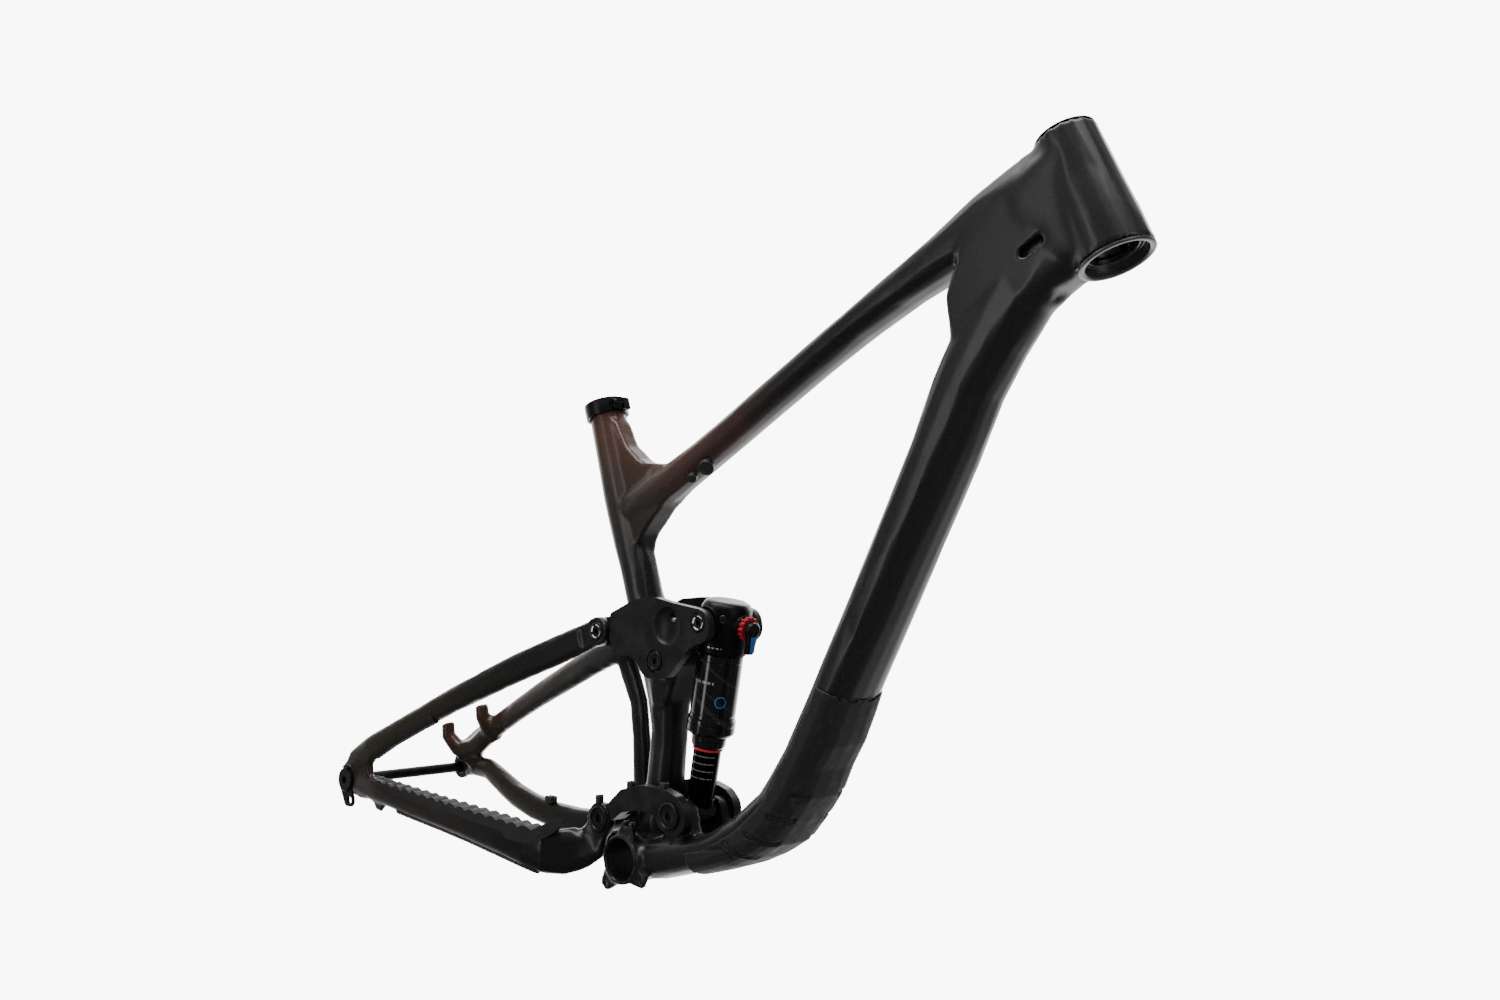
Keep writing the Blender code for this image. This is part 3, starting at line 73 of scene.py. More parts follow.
def on_centre(p):
    return Vector((p[0], 0, p[2]))


shock_top = Vector(joint["trunnion_pivot"]["pos_m"])
shock_eye = Vector(joint["lower_link_pivot"]["pos_m"])
shock_down = -Vector(joint["shock_stroke"]["axis"])
shock_fore = Vector(joint["rebound_turn"]["axis"])
head_axis = Vector(mount["head_upper_face"]["axis"])
head_top = on_centre(mount["head_upper_face"]["pos_m"])
head_low = on_centre(mount["head_lower_face"]["pos_m"])
LEFT, RIGHT = Vector((0, 1, 0)), Vector((0, -1, 0))
print("shock length mm:", round((shock_eye - shock_top).length / MM, 1))

# %% [markdown]
# ## Camera
# The camera stands in front of the drive side, at about the height of the rocker link.

# %% Camera
CAMERA_AT = Vector((1.0548, -0.9691, 0.3011))
CAMERA_AZIMUTH, CAMERA_ELEVATION, CAMERA_ROLL = 43.88, -1.988, 1.085
CAMERA_LENS = 34.52


def aim_camera():
    a, e, r = (math.radians(v) for v in (CAMERA_AZIMUTH, CAMERA_ELEVATION, CAMERA_ROLL))
    back = Vector((math.sin(a) * math.cos(e), -math.cos(a) * math.cos(e), math.sin(e)))
    right = Vector((0, 0, 1)).cross(back).normalized()
    up = back.cross(right)
    turned_right = math.cos(r) * right + math.sin(r) * up
    turned_up = -math.sin(r) * right + math.cos(r) * up
    pose = Matrix((turned_right, turned_up, back)).transposed().to_4x4()
    pose.translation = CAMERA_AT
    return pose


bpy.ops.object.camera_add()
camera = bpy.context.object
camera.data.lens = CAMERA_LENS
camera.matrix_world = aim_camera()
bpy.context.scene.camera = camera
print("camera lens mm:", camera.data.lens)

# %% [markdown]
# ## Helpers for finishes
# Colours are written as sRGB hex, and one function turns them linear. One small function adds a shader node
# with its settings and links, and gives back the output that the next node reads.

# %% Colour and node helpers
WHITE = (1, 1, 1, 1)


def linear(code):
    parts = [int(code[i:i + 2], 16) / 255 for i in (1, 3, 5)]
    return tuple(c / 12.92 if c <= 0.04045 else ((c + 0.055) / 1.055) ** 2.4 for c in parts) + (1.0,)


def link(owner, output, socket):
    owner.node_tree.links.new(output, socket)


def add_node(owner, kind, inputs=(), output=0, **settings):
    """Add a node and return one of its outputs. Inputs come in order or by key, and each is a value or
    another node's output."""
    node = owner.node_tree.nodes.new(kind)
    for key, value in settings.items():
        setattr(node, key, value)
    for key, value in inputs.items() if isinstance(inputs, dict) else enumerate(inputs):
        if isinstance(value, bpy.types.NodeSocket):
            link(owner, value, node.inputs[key])
        else:
            node.inputs[key].default_value = value
    return node.outputs[output]


def new_finish(name, base, metallic, roughness):
    mat = bpy.data.materials.new(name)
    mat.use_nodes = True
    shader = mat.node_tree.nodes["Principled BSDF"]
    shader.inputs["Base Color"].default_value = linear(base)
    shader.inputs["Metallic"].default_value = metallic
    shader.inputs["Roughness"].default_value = roughness
    return mat, shader


print("linear mid grey:", [round(v, 3) for v in linear("#808080")])

# %% [markdown]
# ## Room and light
# A pale floor well below the frame, white paper all round and six soft lamps. Black satin carbon shows its
# shape only by what it reflects, so the lamps are large and low in contrast. The key lamp and the rear lamp
# are hidden from reflections: they light the frame without drawing hot spots on its tubes. The other four
# show in it as soft bands.

# %% Floor and lamps
FLOOR_AT = -0.36
ROOM_FRONT, ROOM_BACK, ROOM_SEEN = 0.10, 3.2, 9.0
BACKDROP_SIDE = Vector((-0.69, 0.72, 0.05))


def soft_lamp(name, at, target, size, power, mirrored=True):
    bpy.ops.object.light_add(type="AREA", location=at)
    lamp = bpy.context.object
    lamp.name = name
    lamp.data.shape = "RECTANGLE"
    lamp.data.size, lamp.data.size_y = size
    lamp.data.energy = power
    lamp.rotation_euler = (Vector(target) - Vector(at)).to_track_quat("-Z", "Y").to_euler()
    lamp.visible_glossy = mirrored
    return lamp


bpy.ops.mesh.primitive_plane_add(size=30, location=(0, 0, FLOOR_AT))
floor = bpy.context.object
floor.name = "floor"
floor.visible_glossy = False
soft_lamp("lamp_key", (1.3, -1.9, 1.9), (0, 0, 0.2), (1.5, 1.5), 30, False)
soft_lamp("lamp_top", (0.1, -0.3, 2.2), (0, 0, 0.2), (2.6, 0.8), 60)
soft_lamp("strip_right", (-0.5, -2.1, 0.6), (0, 0, 0.2), (0.5, 2.0), 9)
soft_lamp("strip_front", (2.3, -0.2, 0.7), (0.2, 0, 0.3), (0.8, 1.8), 10)
soft_lamp("lamp_rear", (-1.8, -0.9, 0.9), (-0.2, 0, 0.2), (0.9, 1.6), 12, False)
soft_lamp("lamp_left", (-0.6, 2.2, 1.2), (0, 0, 0.2), (1.8, 1.4), 24)

# %% [markdown]
# The paper is white to the camera everywhere. Mirror rays meet it brightly behind the frame and dimly in
# front of it, as in a studio where only the backdrop is lit, and that gives dark tubes thin bright rims.

# %% White paper
BACKDROP_EDGE, BACKDROP_FULL = 0.3, 0.95


def bright_room():
    world = bpy.data.worlds.new("pale_room")
    bpy.context.scene.world = world
    world.use_nodes = True
    toward = add_node(world, "ShaderNodeTexCoord", output="Generated")
    turn = add_node(world, "ShaderNodeVectorMath", (toward, BACKDROP_SIDE), "Value", operation="DOT_PRODUCT")
    glow = add_node(world, "ShaderNodeMapRange", (turn, BACKDROP_EDGE, BACKDROP_FULL, ROOM_FRONT, ROOM_BACK))
    fill = world.node_tree.nodes["Background"]
    fill.inputs["Color"].default_value = WHITE
    link(world, glow, fill.inputs["Strength"])
    seen = add_node(world, "ShaderNodeBackground", (WHITE, ROOM_SEEN))
    camera_ray = add_node(world, "ShaderNodeLightPath", output="Is Camera Ray")
    room = add_node(world, "ShaderNodeMixShader", (camera_ray, fill.outputs[0], seen))
    link(world, room, world.node_tree.nodes["World Output"].inputs["Surface"])


def pale_floor():
    """Seamless white paper: it looks as white as the room, and bounces a little light."""
    mat, shader = new_finish("pale_floor", "#d8d8d8", 0.0, 0.9)
    seen = add_node(mat, "ShaderNodeEmission", (WHITE, ROOM_SEEN))
    camera_ray = add_node(mat, "ShaderNodeLightPath", output="Is Camera Ray")
    paper = add_node(mat, "ShaderNodeMixShader", (camera_ray, shader.outputs["BSDF"], seen))
    link(mat, paper, mat.node_tree.nodes["Material Output"].inputs["Surface"])
    return mat


bright_room()
floor.data.materials.append(pale_floor())

# %% [markdown]
# ## Finishes
# A finish is built in layers. Each layer lays a colour over the last one, as far as a mask says, and a mask
# is noise with spots of a real size, or a distance along a direction of the frame.


# %% Layers and masks
def noise_of(mat, size, detail=3.0, stretch=None):
    """Noise whose spots are about that many millimetres apart."""
    where = add_node(mat, "ShaderNodeTexCoord", output="Object")
    if stretch:
        where = add_node(mat, "ShaderNodeMapping", {"Vector": where, "Scale": stretch})
    settings = {"Vector": where, "Scale": 1.0 / (size * MM), "Detail": detail}
    return add_node(mat, "ShaderNodeTexNoise", settings, "Fac")


def painted(mat, shader, mask, colour):
    """Lay a colour over the base colour as far as the mask says. It is hex, or a node's output."""
    base = shader.inputs["Base Color"]
    under = base.links[0].from_socket if base.links else tuple(base.default_value)
    over = linear(colour) if isinstance(colour, str) else colour
    link(mat, add_node(mat, "ShaderNodeMix", {0: mask, 6: under, 7: over}, 2, data_type="RGBA"), base)


def grained(mat, shader, size, detail, depth, strength):
    """A fine raised grain, whose size and depth are in millimetres."""
    inputs = {"Height": noise_of(mat, size, detail), "Distance": depth * MM, "Strength": strength}
    link(mat, add_node(mat, "ShaderNodeBump", inputs), shader.inputs["Normal"])


def from_point(mat, point):
    """The way from a point to the place on the surface."""
    place = add_node(mat, "ShaderNodeTexCoord", output="Object")
    return add_node(mat, "ShaderNodeVectorMath", (place, point), operation="SUBTRACT")


def distance_along(mat, direction, point=(0, 0, 0)):
    """How far the surface lies from a point along a direction, in metres."""
    way = from_point(mat, point)
    return add_node(mat, "ShaderNodeVectorMath", (way, direction), "Value", operation="DOT_PRODUCT")


def along(mat, direction, start, end):
    """0 before start and 1 after end, in metres along a direction."""
    reach = distance_along(mat, direction)
    return add_node(mat, "ShaderNodeMapRange", (reach, start, end), interpolation_type="SMOOTHSTEP")


def all_of(mat, mask, *others):
    """Masks multiplied, so the result is 1 only where all of them are."""
    for other in others:
        mask = add_node(mat, "ShaderNodeMath", (mask, other), operation="MULTIPLY")
    return mask


# %% [markdown]
# **Satin lacquered carbon.** The front triangle is a carbon lay-up under a matt clear coat. The coat gives a
# soft wide highlight, tiny flakes sparkle in it, and broad cloudy patches show where the resin is thicker.
# Round the seat tube it is shot with a bronze colour that fades out along the top tube.
#
# **Colour-shift paint.** The stays are olive by the axle and black towards the front yoke, with brown on the
# outer side of the right dropout and a reddish tint on the left seatstay.

# %% Carbon and paint
def flake_and_cloud(mat, shader, rough_low, rough_high):
    cloud = noise_of(mat, 38, 4.0)
    flake = noise_of(mat, 0.7, 1.0)
    painted(mat, shader, add_node(mat, "ShaderNodeMapRange", (cloud, 0.3, 0.7, 0.0, 0.35)), "#070708")
    painted(mat, shader, add_node(mat, "ShaderNodeMapRange", (flake, 0.62, 0.8, 0.0, 0.22)), "#6a6864")
    roughness = add_node(mat, "ShaderNodeMapRange", (cloud, 0.3, 0.7, rough_low, rough_high))
    link(mat, roughness, shader.inputs["Roughness"])
    grained(mat, shader, 1.6, 2.0, 0.02, 0.35)
    shader.inputs["Specular IOR Level"].default_value = 0.35
    shader.inputs["Coat Weight"].default_value = 0.35
    shader.inputs["Coat Roughness"].default_value = 0.22


def satin_carbon():
    mat, shader = new_finish("satin_carbon", "#101011", 0.0, 0.42)
    high = along(mat, (0.25, 0.0, 1.0), 0.33, 0.43)
    bronzes = {0: high, 6: linear("#2c2520"), 7: linear("#4a2a1e")}
    bronze = add_node(mat, "ShaderNodeMix", bronzes, 2, data_type="RGBA")
    ahead = along(mat, (1.0, 0.0, 0.25), 0.08, 0.33)
    behind = add_node(mat, "ShaderNodeMath", (1.0, ahead), operation="SUBTRACT")
    above_link = along(mat, (0.35, 0.0, 1.0), 0.24, 0.38)
    painted(mat, shader, all_of(mat, behind, above_link), bronze)
    flake_and_cloud(mat, shader, 0.36, 0.47)
    return mat


def stay_paint():
    mat, shader = new_finish("colour_shift_paint", "#3f3026", 0.25, 0.38)
    ahead = along(mat, (1.0, 0.0, 0.0), -0.36, -0.12)
    olives = {0: ahead, 6: linear("#2b251b"), 7: linear("#141413")}
    link(mat, add_node(mat, "ShaderNodeMix", olives, 2, data_type="RGBA"), shader.inputs["Base Color"])
    right_side, below_axle = along(mat, RIGHT, 0.060, 0.072), along(mat, (-0.25, 0.0, -1.0), 0.035, 0.055)
    painted(mat, shader, all_of(mat, right_side, below_axle), "#1f1310")
    left_side, at_seatstay = along(mat, LEFT, 0.030, 0.045), along(mat, (-0.489, 0.0, 1.0), 0.253, 0.27)
    painted(mat, shader, all_of(mat, left_side, at_seatstay, 0.5), "#4a2419")
    painted(mat, shader, along(mat, (1.0, 0.0, -0.6), -0.17, -0.10), "#0d0d0d")
    flake_and_cloud(mat, shader, 0.30, 0.42)
    return mat


carbon_finish, stay_finish = satin_carbon(), stay_paint()
print("carbon finishes:", carbon_finish.name, stay_finish.name)

# %% [markdown]
# **Metals, rubber and plastic.** The links are forged and anodised black, with a fine bead-blasted grain.
# Bolts are dark coated steel. The shock is gloss black, its shaft is polished, and the guards are soft
# moulded rubber with a dry, wide sheen.

# %% Metals, rubber and plastic
def blasted(name, colour, metallic, roughness, grain=0.5, depth=0.015):
    """Anodised aluminium after bead blasting: an even grain and slightly cloudy gloss."""
    mat, shader = new_finish(name, colour, metallic, roughness)
    cloud = noise_of(mat, 14, 3.0)
    gloss = add_node(mat, "ShaderNodeMapRange", (cloud, 0.3, 0.7, roughness - 0.05, roughness + 0.06))
    link(mat, gloss, shader.inputs["Roughness"])
    painted(mat, shader, add_node(mat, "ShaderNodeMapRange", (cloud, 0.35, 0.75, 0.0, 0.3)), "#3a3a3c")
    grained(mat, shader, grain, 2.0, depth, 0.5)
    return mat


def moulded(name, colour, roughness, grain, depth):
    """Moulded rubber or plastic: no metal, a leathery grain and lighter scuffs on the high spots."""
    mat, shader = new_finish(name, colour, 0.0, roughness)
    scuff = noise_of(mat, 9, 5.0)
    painted(mat, shader, add_node(mat, "ShaderNodeMapRange", (scuff, 0.55, 0.8, 0.0, 0.5)), "#2a2a2a")
    gloss = add_node(mat, "ShaderNodeMapRange", (scuff, 0.3, 0.7, roughness - 0.06, roughness + 0.08))
    link(mat, gloss, shader.inputs["Roughness"])
    grained(mat, shader, grain, 3.0, depth, 0.6)
    return mat


def polished(name, colour, metallic, roughness, coat=0.0):
    """Gloss paint or a polished shaft: a clean reflection broken by fine wipe marks."""
    mat, shader = new_finish(name, colour, metallic, roughness)
    wipe = noise_of(mat, 5, 4.0, (1.0, 1.0, 0.25))
    gloss = add_node(mat, "ShaderNodeMapRange", (wipe, 0.35, 0.75, roughness, roughness + 0.07))
    link(mat, gloss, shader.inputs["Roughness"])
    painted(mat, shader, add_node(mat, "ShaderNodeMapRange", (wipe, 0.5, 0.9, 0.0, 0.12)), "#5b5b5e")
    grained(mat, shader, 2.4, 2.0, 0.006, 0.3)
    shader.inputs["Coat Weight"].default_value = coat
    return mat


link_finish = blasted("anodised_forging", "#1d1d1f", 0.55, 0.40)
anodised_finish = blasted("anodised_aluminium", "#19191a", 0.75, 0.34, 0.4, 0.008)
grey_finish = blasted("grey_anodised_aluminium", "#6f7173", 0.9, 0.36, 0.4, 0.008)
bolt_finish = blasted("coated_steel", "#2a2a2c", 0.85, 0.36, 0.3, 0.006)
grey_dark_finish = blasted("dark_grey_anodised_aluminium", "#3c3d40", 0.85, 0.32, 0.4, 0.008)
bearing_finish = blasted("bearing_steel", "#9a9b9d", 1.0, 0.28, 0.4, 0.004)
red_finish = blasted("red_anodised_aluminium", "#b3152b", 0.55, 0.34, 0.4, 0.006)
blue_finish = blasted("blue_anodised_aluminium", "#2f6fb5", 0.5, 0.34, 0.4, 0.006)
rubber_finish = moulded("moulded_rubber", "#131314", 0.60, 0.9, 0.03)
ring_finish = moulded("red_rubber", "#b01824", 0.5, 0.6, 0.01)
plastic_finish = moulded("moulded_plastic", "#1b1b1c", 0.5, 0.8, 0.02)
gloss_finish = polished("gloss_black_aluminium", "#0e0e10", 0.3, 0.12, 0.6)
print("finishes:", len(bpy.data.materials))

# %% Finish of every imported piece
FINISH_OF_SLOT = {
    "carbon": carbon_finish, "stay_paint": stay_finish, "link_black": link_finish,
    "anodised": anodised_finish, "bolt_steel": bolt_finish, "grey_alu": grey_finish, "rubber": rubber_finish,
    "gloss_black": gloss_finish, "red": red_finish, "o_ring": ring_finish, "plastic": plastic_finish,
    "bearing": bearing_finish}
slot_of = {s["node"]: s["material_slot"] for s in frame["record"]["subparts"]}
body_of = {n: b for b, members in frame["record"]["behaviour"]["bodies"].items() for n in members}


def wear(ob, finish):
    ob.data.materials.clear()
    ob.data.materials.append(finish)


for name, ob in frame["nodes"].items():
    wear(ob, FINISH_OF_SLOT[slot_of[name]])

# %% [markdown]
# ## Helpers for pieces
# Operators act on what is selected, so every piece starts from a clean selection and ends with its object at
# the origin. `refine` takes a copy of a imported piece, joins its loose triangles, rounds its edges and shades
# its rounds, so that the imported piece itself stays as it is.


# %% Piece helpers
def only(ob):
    bpy.ops.object.select_all(action="DESELECT")
    ob.select_set(True)
    bpy.context.view_layer.objects.active = ob


def use_modifier(ob, kind, **settings):
    only(ob)
    mod = ob.modifiers.new(kind.lower(), kind)
    for key, value in settings.items():
        setattr(mod, key, value)
    bpy.ops.object.modifier_apply(modifier=mod.name)


def finish_piece(ob, name, body, finish, angle=35, replaces=()):
    """Apply the place, shade the rounds, give the finish and hang the piece on its body."""
    only(ob)
    ob.name = name
    bpy.ops.object.transform_apply(location=True, rotation=True, scale=True)
    bpy.ops.object.shade_smooth_by_angle(angle=math.radians(angle))
    if finish:
        wear(ob, finish)
    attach(ob, body)
    if replaces:
        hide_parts(*replaces)
    return ob


def copy_of(name):
    source = frame["nodes"][name]
    ob = bpy.data.objects.new(name + "_copy", source.data.copy())
    bpy.context.scene.collection.objects.link(ob)
    only(ob)
    bpy.ops.object.mode_set(mode="EDIT")
    bpy.ops.mesh.select_all(action="SELECT")
    bpy.ops.mesh.remove_doubles(threshold=0.00001)
    bpy.ops.object.mode_set(mode="OBJECT")
    return ob


def refine(name, finish, angle, width):
    """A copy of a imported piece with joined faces, rounded edges and smooth rounds."""
    ob = copy_of(name)
    bpy.ops.object.mode_set(mode="EDIT")
    bpy.ops.mesh.select_all(action="SELECT")
    bpy.ops.mesh.dissolve_limited(angle_limit=math.radians(0.6))
    bpy.ops.object.mode_set(mode="OBJECT")
    use_modifier(ob, "BEVEL", width=width, segments=3, limit_method="ANGLE", angle_limit=math.radians(40))
    finish_piece(ob, name + "_fine", body_of[name], finish, angle, (name,))
    use_modifier(ob, "WEIGHTED_NORMAL", weight=100, keep_sharp=True)
    return ob


def drawn(points):
    """A line through the points, extruded from one vertex. It stays in edit mode, selected all over."""
    bpy.ops.object.select_all(action="DESELECT")
    bpy.ops.mesh.primitive_plane_add(size=MM)
    ob = bpy.context.object
    bpy.ops.object.mode_set(mode="EDIT")
    bpy.ops.mesh.select_all(action="SELECT")
    bpy.ops.mesh.merge(type="CENTER")
    bpy.ops.transform.translate(value=points[0])
    for start, end in zip(points, points[1:]):
        bpy.ops.mesh.extrude_region_move(TRANSFORM_OT_translate={"value": end - start})
    bpy.ops.mesh.select_all(action="SELECT")
    return ob


# %% [markdown]
# ## Carbon skins
# The real tubes are moulded in one piece, so light runs over them without a break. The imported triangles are
# coarse, so each moulded piece is rebuilt as a fine even mesh and relaxed in pairs of steps, one in and one
# out, which takes the facets away and keeps the size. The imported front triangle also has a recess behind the
# head tube that the moulding hasn't, so a block with the outline of that corner is joined to the copy first.

# %% Head filler
FILLER_OUTLINE = ((0, 15), (24, 15), (52, 26), (54, 46), (46, 61), (39, 68), (39, 84), (27, 101), (0, 101))
FILLER_HALF_WIDTH, FILLER_ROUNDING = 0.0264, 0.004
head_back = head_axis.cross(LEFT).normalized()
head_back = head_back if head_back.x < 0 else -head_back


def behind_head(back, down):
    """A point behind the head tube's axis and down from its top, in mm."""
    return head_top + head_back * back * MM - head_axis * down * MM


def block(corners, half_width, rounding):
    """A block whose side view is the outline through the corners, with rounded long edges."""
    ob = drawn([corner + RIGHT * half_width for corner in corners])
    bpy.ops.mesh.edge_face_add()
    bpy.ops.mesh.extrude_region_move(TRANSFORM_OT_translate={"value": LEFT * 2 * half_width})
    bpy.ops.mesh.select_all(action="SELECT")
    bpy.ops.mesh.normals_make_consistent(inside=False)
    bpy.ops.object.mode_set(mode="OBJECT")
    use_modifier(ob, "BEVEL", width=rounding, segments=5, limit_method="ANGLE", angle_limit=math.radians(60))
    return ob


filler = block([behind_head(back, down) for back, down in FILLER_OUTLINE], FILLER_HALF_WIDTH, FILLER_ROUNDING)
print("filler faces:", len(filler.data.polygons))

# %% Carbon skins
SKIN_VOXEL, GUARD_VOXEL = 0.0021, 0.0013
RELAX_IN, RELAX_OUT = 0.5, -0.53


def moulded_skin(name, finish, voxel, pairs, filler=None):
    """A copy of a moulded piece, rebuilt in even faces and smoothed without shrinking."""
    ob = copy_of(name)
    if filler:
        filler.select_set(True)
        bpy.ops.object.join()
    use_modifier(ob, "REMESH", mode="VOXEL", voxel_size=voxel)
    for _ in range(pairs):
        use_modifier(ob, "SMOOTH", factor=RELAX_IN, iterations=1)
        use_modifier(ob, "SMOOTH", factor=RELAX_OUT, iterations=1)
    finish_piece(ob, name + "_skin", body_of[name], finish, 60, (name,))
    print(ob.name, "faces:", len(ob.data.polygons))
    return ob


front_skin = moulded_skin("front_triangle", carbon_finish, SKIN_VOXEL, 14, filler)
moulded_skin("rear_triangle", stay_finish, SKIN_VOXEL, 14)

# %% [markdown]
# Behind the head tube the side of the frame runs into the tube without a valley. The skin is relaxed there
# only, round a row of points on each side and one below, and the head tube itself, its ends and the cable
# ports are kept as they are.

# %% Blend behind the head tube
BLEND_RADIUS, BLEND_PASSES = 32 * MM, 40
BLEND_BACK, BLEND_SIDE, BLEND_SHARES = 31 * MM, 19 * MM, (0.22, 0.42, 0.62, 0.82)
BLEND_UNDER = ((34, 103), (52, 112), (70, 119))
PORT_BACK, PORT_DOWN = 41 * MM, (64 * MM, 84 * MM)
TUBE_RADIUS, END_RADIUS, END_LENGTH = 25 * MM, 38 * MM, 5 * MM


def blend_head(ob):
    group = ob.vertex_groups.new(name="blend")
    centres = [head_top.lerp(head_low, share) + head_back * BLEND_BACK + side * BLEND_SIDE
               for side in (LEFT, RIGHT) for share in BLEND_SHARES]
    centres += [behind_head(back, down) for back, down in BLEND_UNDER]
    length = (head_top - head_low).length
    for v in ob.data.vertices:
        nearest = min((v.co - c).length for c in centres)
        if nearest > BLEND_RADIUS:
            continue
        down = (head_top - v.co).dot(head_axis)
        off_axis = (v.co - head_top + head_axis * down).length
        from_ends = min(down, length - down)
        at_port = (v.co - head_top).dot(head_back) > PORT_BACK and PORT_DOWN[0] < down < PORT_DOWN[1]
        outside = off_axis > TUBE_RADIUS and (from_ends > END_LENGTH or off_axis > END_RADIUS)
        if outside and not at_port:
            group.add([v.index], min(1.0, 2 * (1 - nearest / BLEND_RADIUS)), "REPLACE")
    use_modifier(ob, "SMOOTH", factor=0.5, iterations=BLEND_PASSES, vertex_group="blend")


blend_head(front_skin)
print("head tube length mm:", round((head_top - head_low).length / MM, 1))

# %% [markdown]
# ## Turned pieces
# Bolts, cups and the shock are turned on a lathe. The same is done here: half a section is drawn point by
# point by extruding one vertex, and Spin carries it round. Each section is written as pairs of distance along
# the axis and radius, in millimetres, and chamfers are points of their own, so edges catch a thin highlight.


# %% Lathe
def stand_on(ob, centre, axis):
    """Turn a piece that was made along Z onto an axis, put it at its centre and apply that."""
    ob.rotation_mode = "QUATERNION"
    ob.rotation_quaternion = Vector((0, 0, 1)).rotation_difference(Vector(axis))
    ob.location = centre
    only(ob)
    bpy.ops.object.transform_apply(location=True, rotation=True, scale=True)
    return ob


def turned(centre, axis, section, steps=72):
    ob = drawn([Vector((radius * MM, 0, reach * MM)) for reach, radius in section])
    bpy.ops.mesh.spin(steps=steps, angle=2 * math.pi, center=(0, 0, 0), axis=(0, 0, 1))
    bpy.ops.mesh.select_all(action="SELECT")
    bpy.ops.mesh.remove_doubles(threshold=0.000002)
    bpy.ops.mesh.normals_make_consistent(inside=False)
    bpy.ops.object.mode_set(mode="OBJECT")
    return stand_on(ob, centre, axis)


def rod(half_length, radius):
    """The section of a plain rod, for a groove or a bore that is cut away."""
    return [(-half_length, 0), (-half_length, radius), (half_length, radius), (half_length, 0)]


def hex_key(centre, axis, radius, depth):
    """Six-sided bar that leaves a key socket when it is cut away."""
    bpy.ops.object.select_all(action="DESELECT")
    bpy.ops.mesh.primitive_cylinder_add(vertices=6, radius=radius * MM, depth=2 * depth * MM)
    return stand_on(bpy.context.object, centre, axis)


def cut_away(ob, cutter):
    """Boolean difference, and the cutter is thrown away."""
    use_modifier(ob, "BOOLEAN", operation="DIFFERENCE", solver="EXACT", object=cutter)
    bpy.data.objects.remove(cutter)
    return ob


# %% [markdown]
# ## Pivot bolts
# Each bolt head is a dished disc with a raised rim, a chamfer and a hexagon socket. A broken ring of white
# print runs round the heads of the rocker. The print is a mask in the finish: it keeps a band of radius about
# the bolt's own axis and drops a few arcs of it.


# %% Printed marks
BOLT_METAL = 0.85


def band(mat, value, low, high):
    """1 where a distance lies between two numbers of millimetres."""
    above = add_node(mat, "ShaderNodeMath", (value, low * MM), operation="GREATER_THAN")
    below = add_node(mat, "ShaderNodeMath", (value, high * MM), operation="LESS_THAN")
    return all_of(mat, above, below)


def ring_of(mat, centre, low, high):
    """1 between two radii about a point, in mm."""
    radius = add_node(mat, "ShaderNodeVectorMath", (from_point(mat, centre),), "Value", operation="LENGTH")
    return band(mat, radius, low, high)


def dashes(mat, value, rate, least):
    """1 and 0 in turn: 1 where the sine of the value times rate is above least."""
    phase = add_node(mat, "ShaderNodeMath", (value, rate), operation="MULTIPLY")
    wave = add_node(mat, "ShaderNodeMath", (phase,), operation="SINE")
    return add_node(mat, "ShaderNodeMath", (wave, least), operation="GREATER_THAN")


def printed_bolt(face, low, high, arcs):
    """Coated steel with a broken white ring between two radii round the middle of the face."""
    mat = blasted("coated_steel_with_ring", "#2a2a2c", BOLT_METAL, 0.36, 0.3, 0.006)
    shader = mat.node_tree.nodes["Principled BSDF"]
    across, up = distance_along(mat, (1, 0, 0), face), distance_along(mat, (0, 0, 1), face)
    angle = add_node(mat, "ShaderNodeMath", (across, up), operation="ARCTAN2")
    mask = all_of(mat, ring_of(mat, face, low, high), dashes(mat, angle, float(arcs), -0.45))
    painted(mat, shader, mask, "#dcdcda")
    bare = add_node(mat, "ShaderNodeMath", (1.0, mask), operation="SUBTRACT")
    link(mat, all_of(mat, bare, BOLT_METAL), shader.inputs["Metallic"])
    return mat


# %% Bolt heads
LONG_SHANK, SHORT_SHANK = 4.95, 3.0
RING_ARCS, KEY_DEPTH = 4, 3.0


def bolt(node, side, key, ring=None, dish=0.5, cap=3.2):
    """Head outwards on the given side, shank inwards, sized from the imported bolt. The rest is in mm."""
    low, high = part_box(node)
    centre, radius = (low + high) / 2, (high.x - low.x) / 2 / MM
    length = (high.y - low.y) / MM
    shank = LONG_SHANK if length > 8 else SHORT_SHANK
    face = Vector((centre.x, high.y if side > 0 else low.y, centre.z))
    rim = radius - 2.4
    section = [(-length, 0), (-length, shank - 0.4), (0.4 - length, shank), (-cap, shank),
               (-cap, radius - 0.4), (0.4 - cap, radius), (-0.9, radius), (-0.25, radius - 0.5),
               (0, radius - 1.1), (0, rim), (-dish, rim - 0.5), (-dish, key + 1.6), (-dish - 0.2, key + 1.2),
               (-dish - 0.2, 0)]
    ob = turned(face, (0, side, 0), section, 64)
    cut_away(ob, hex_key(face, (0, side, 0), key, KEY_DEPTH))
    finish = printed_bolt(face, *ring, RING_ARCS) if ring else bolt_finish
    return finish_piece(ob, node + "_fine", body_of[node], finish, 30, (node,))


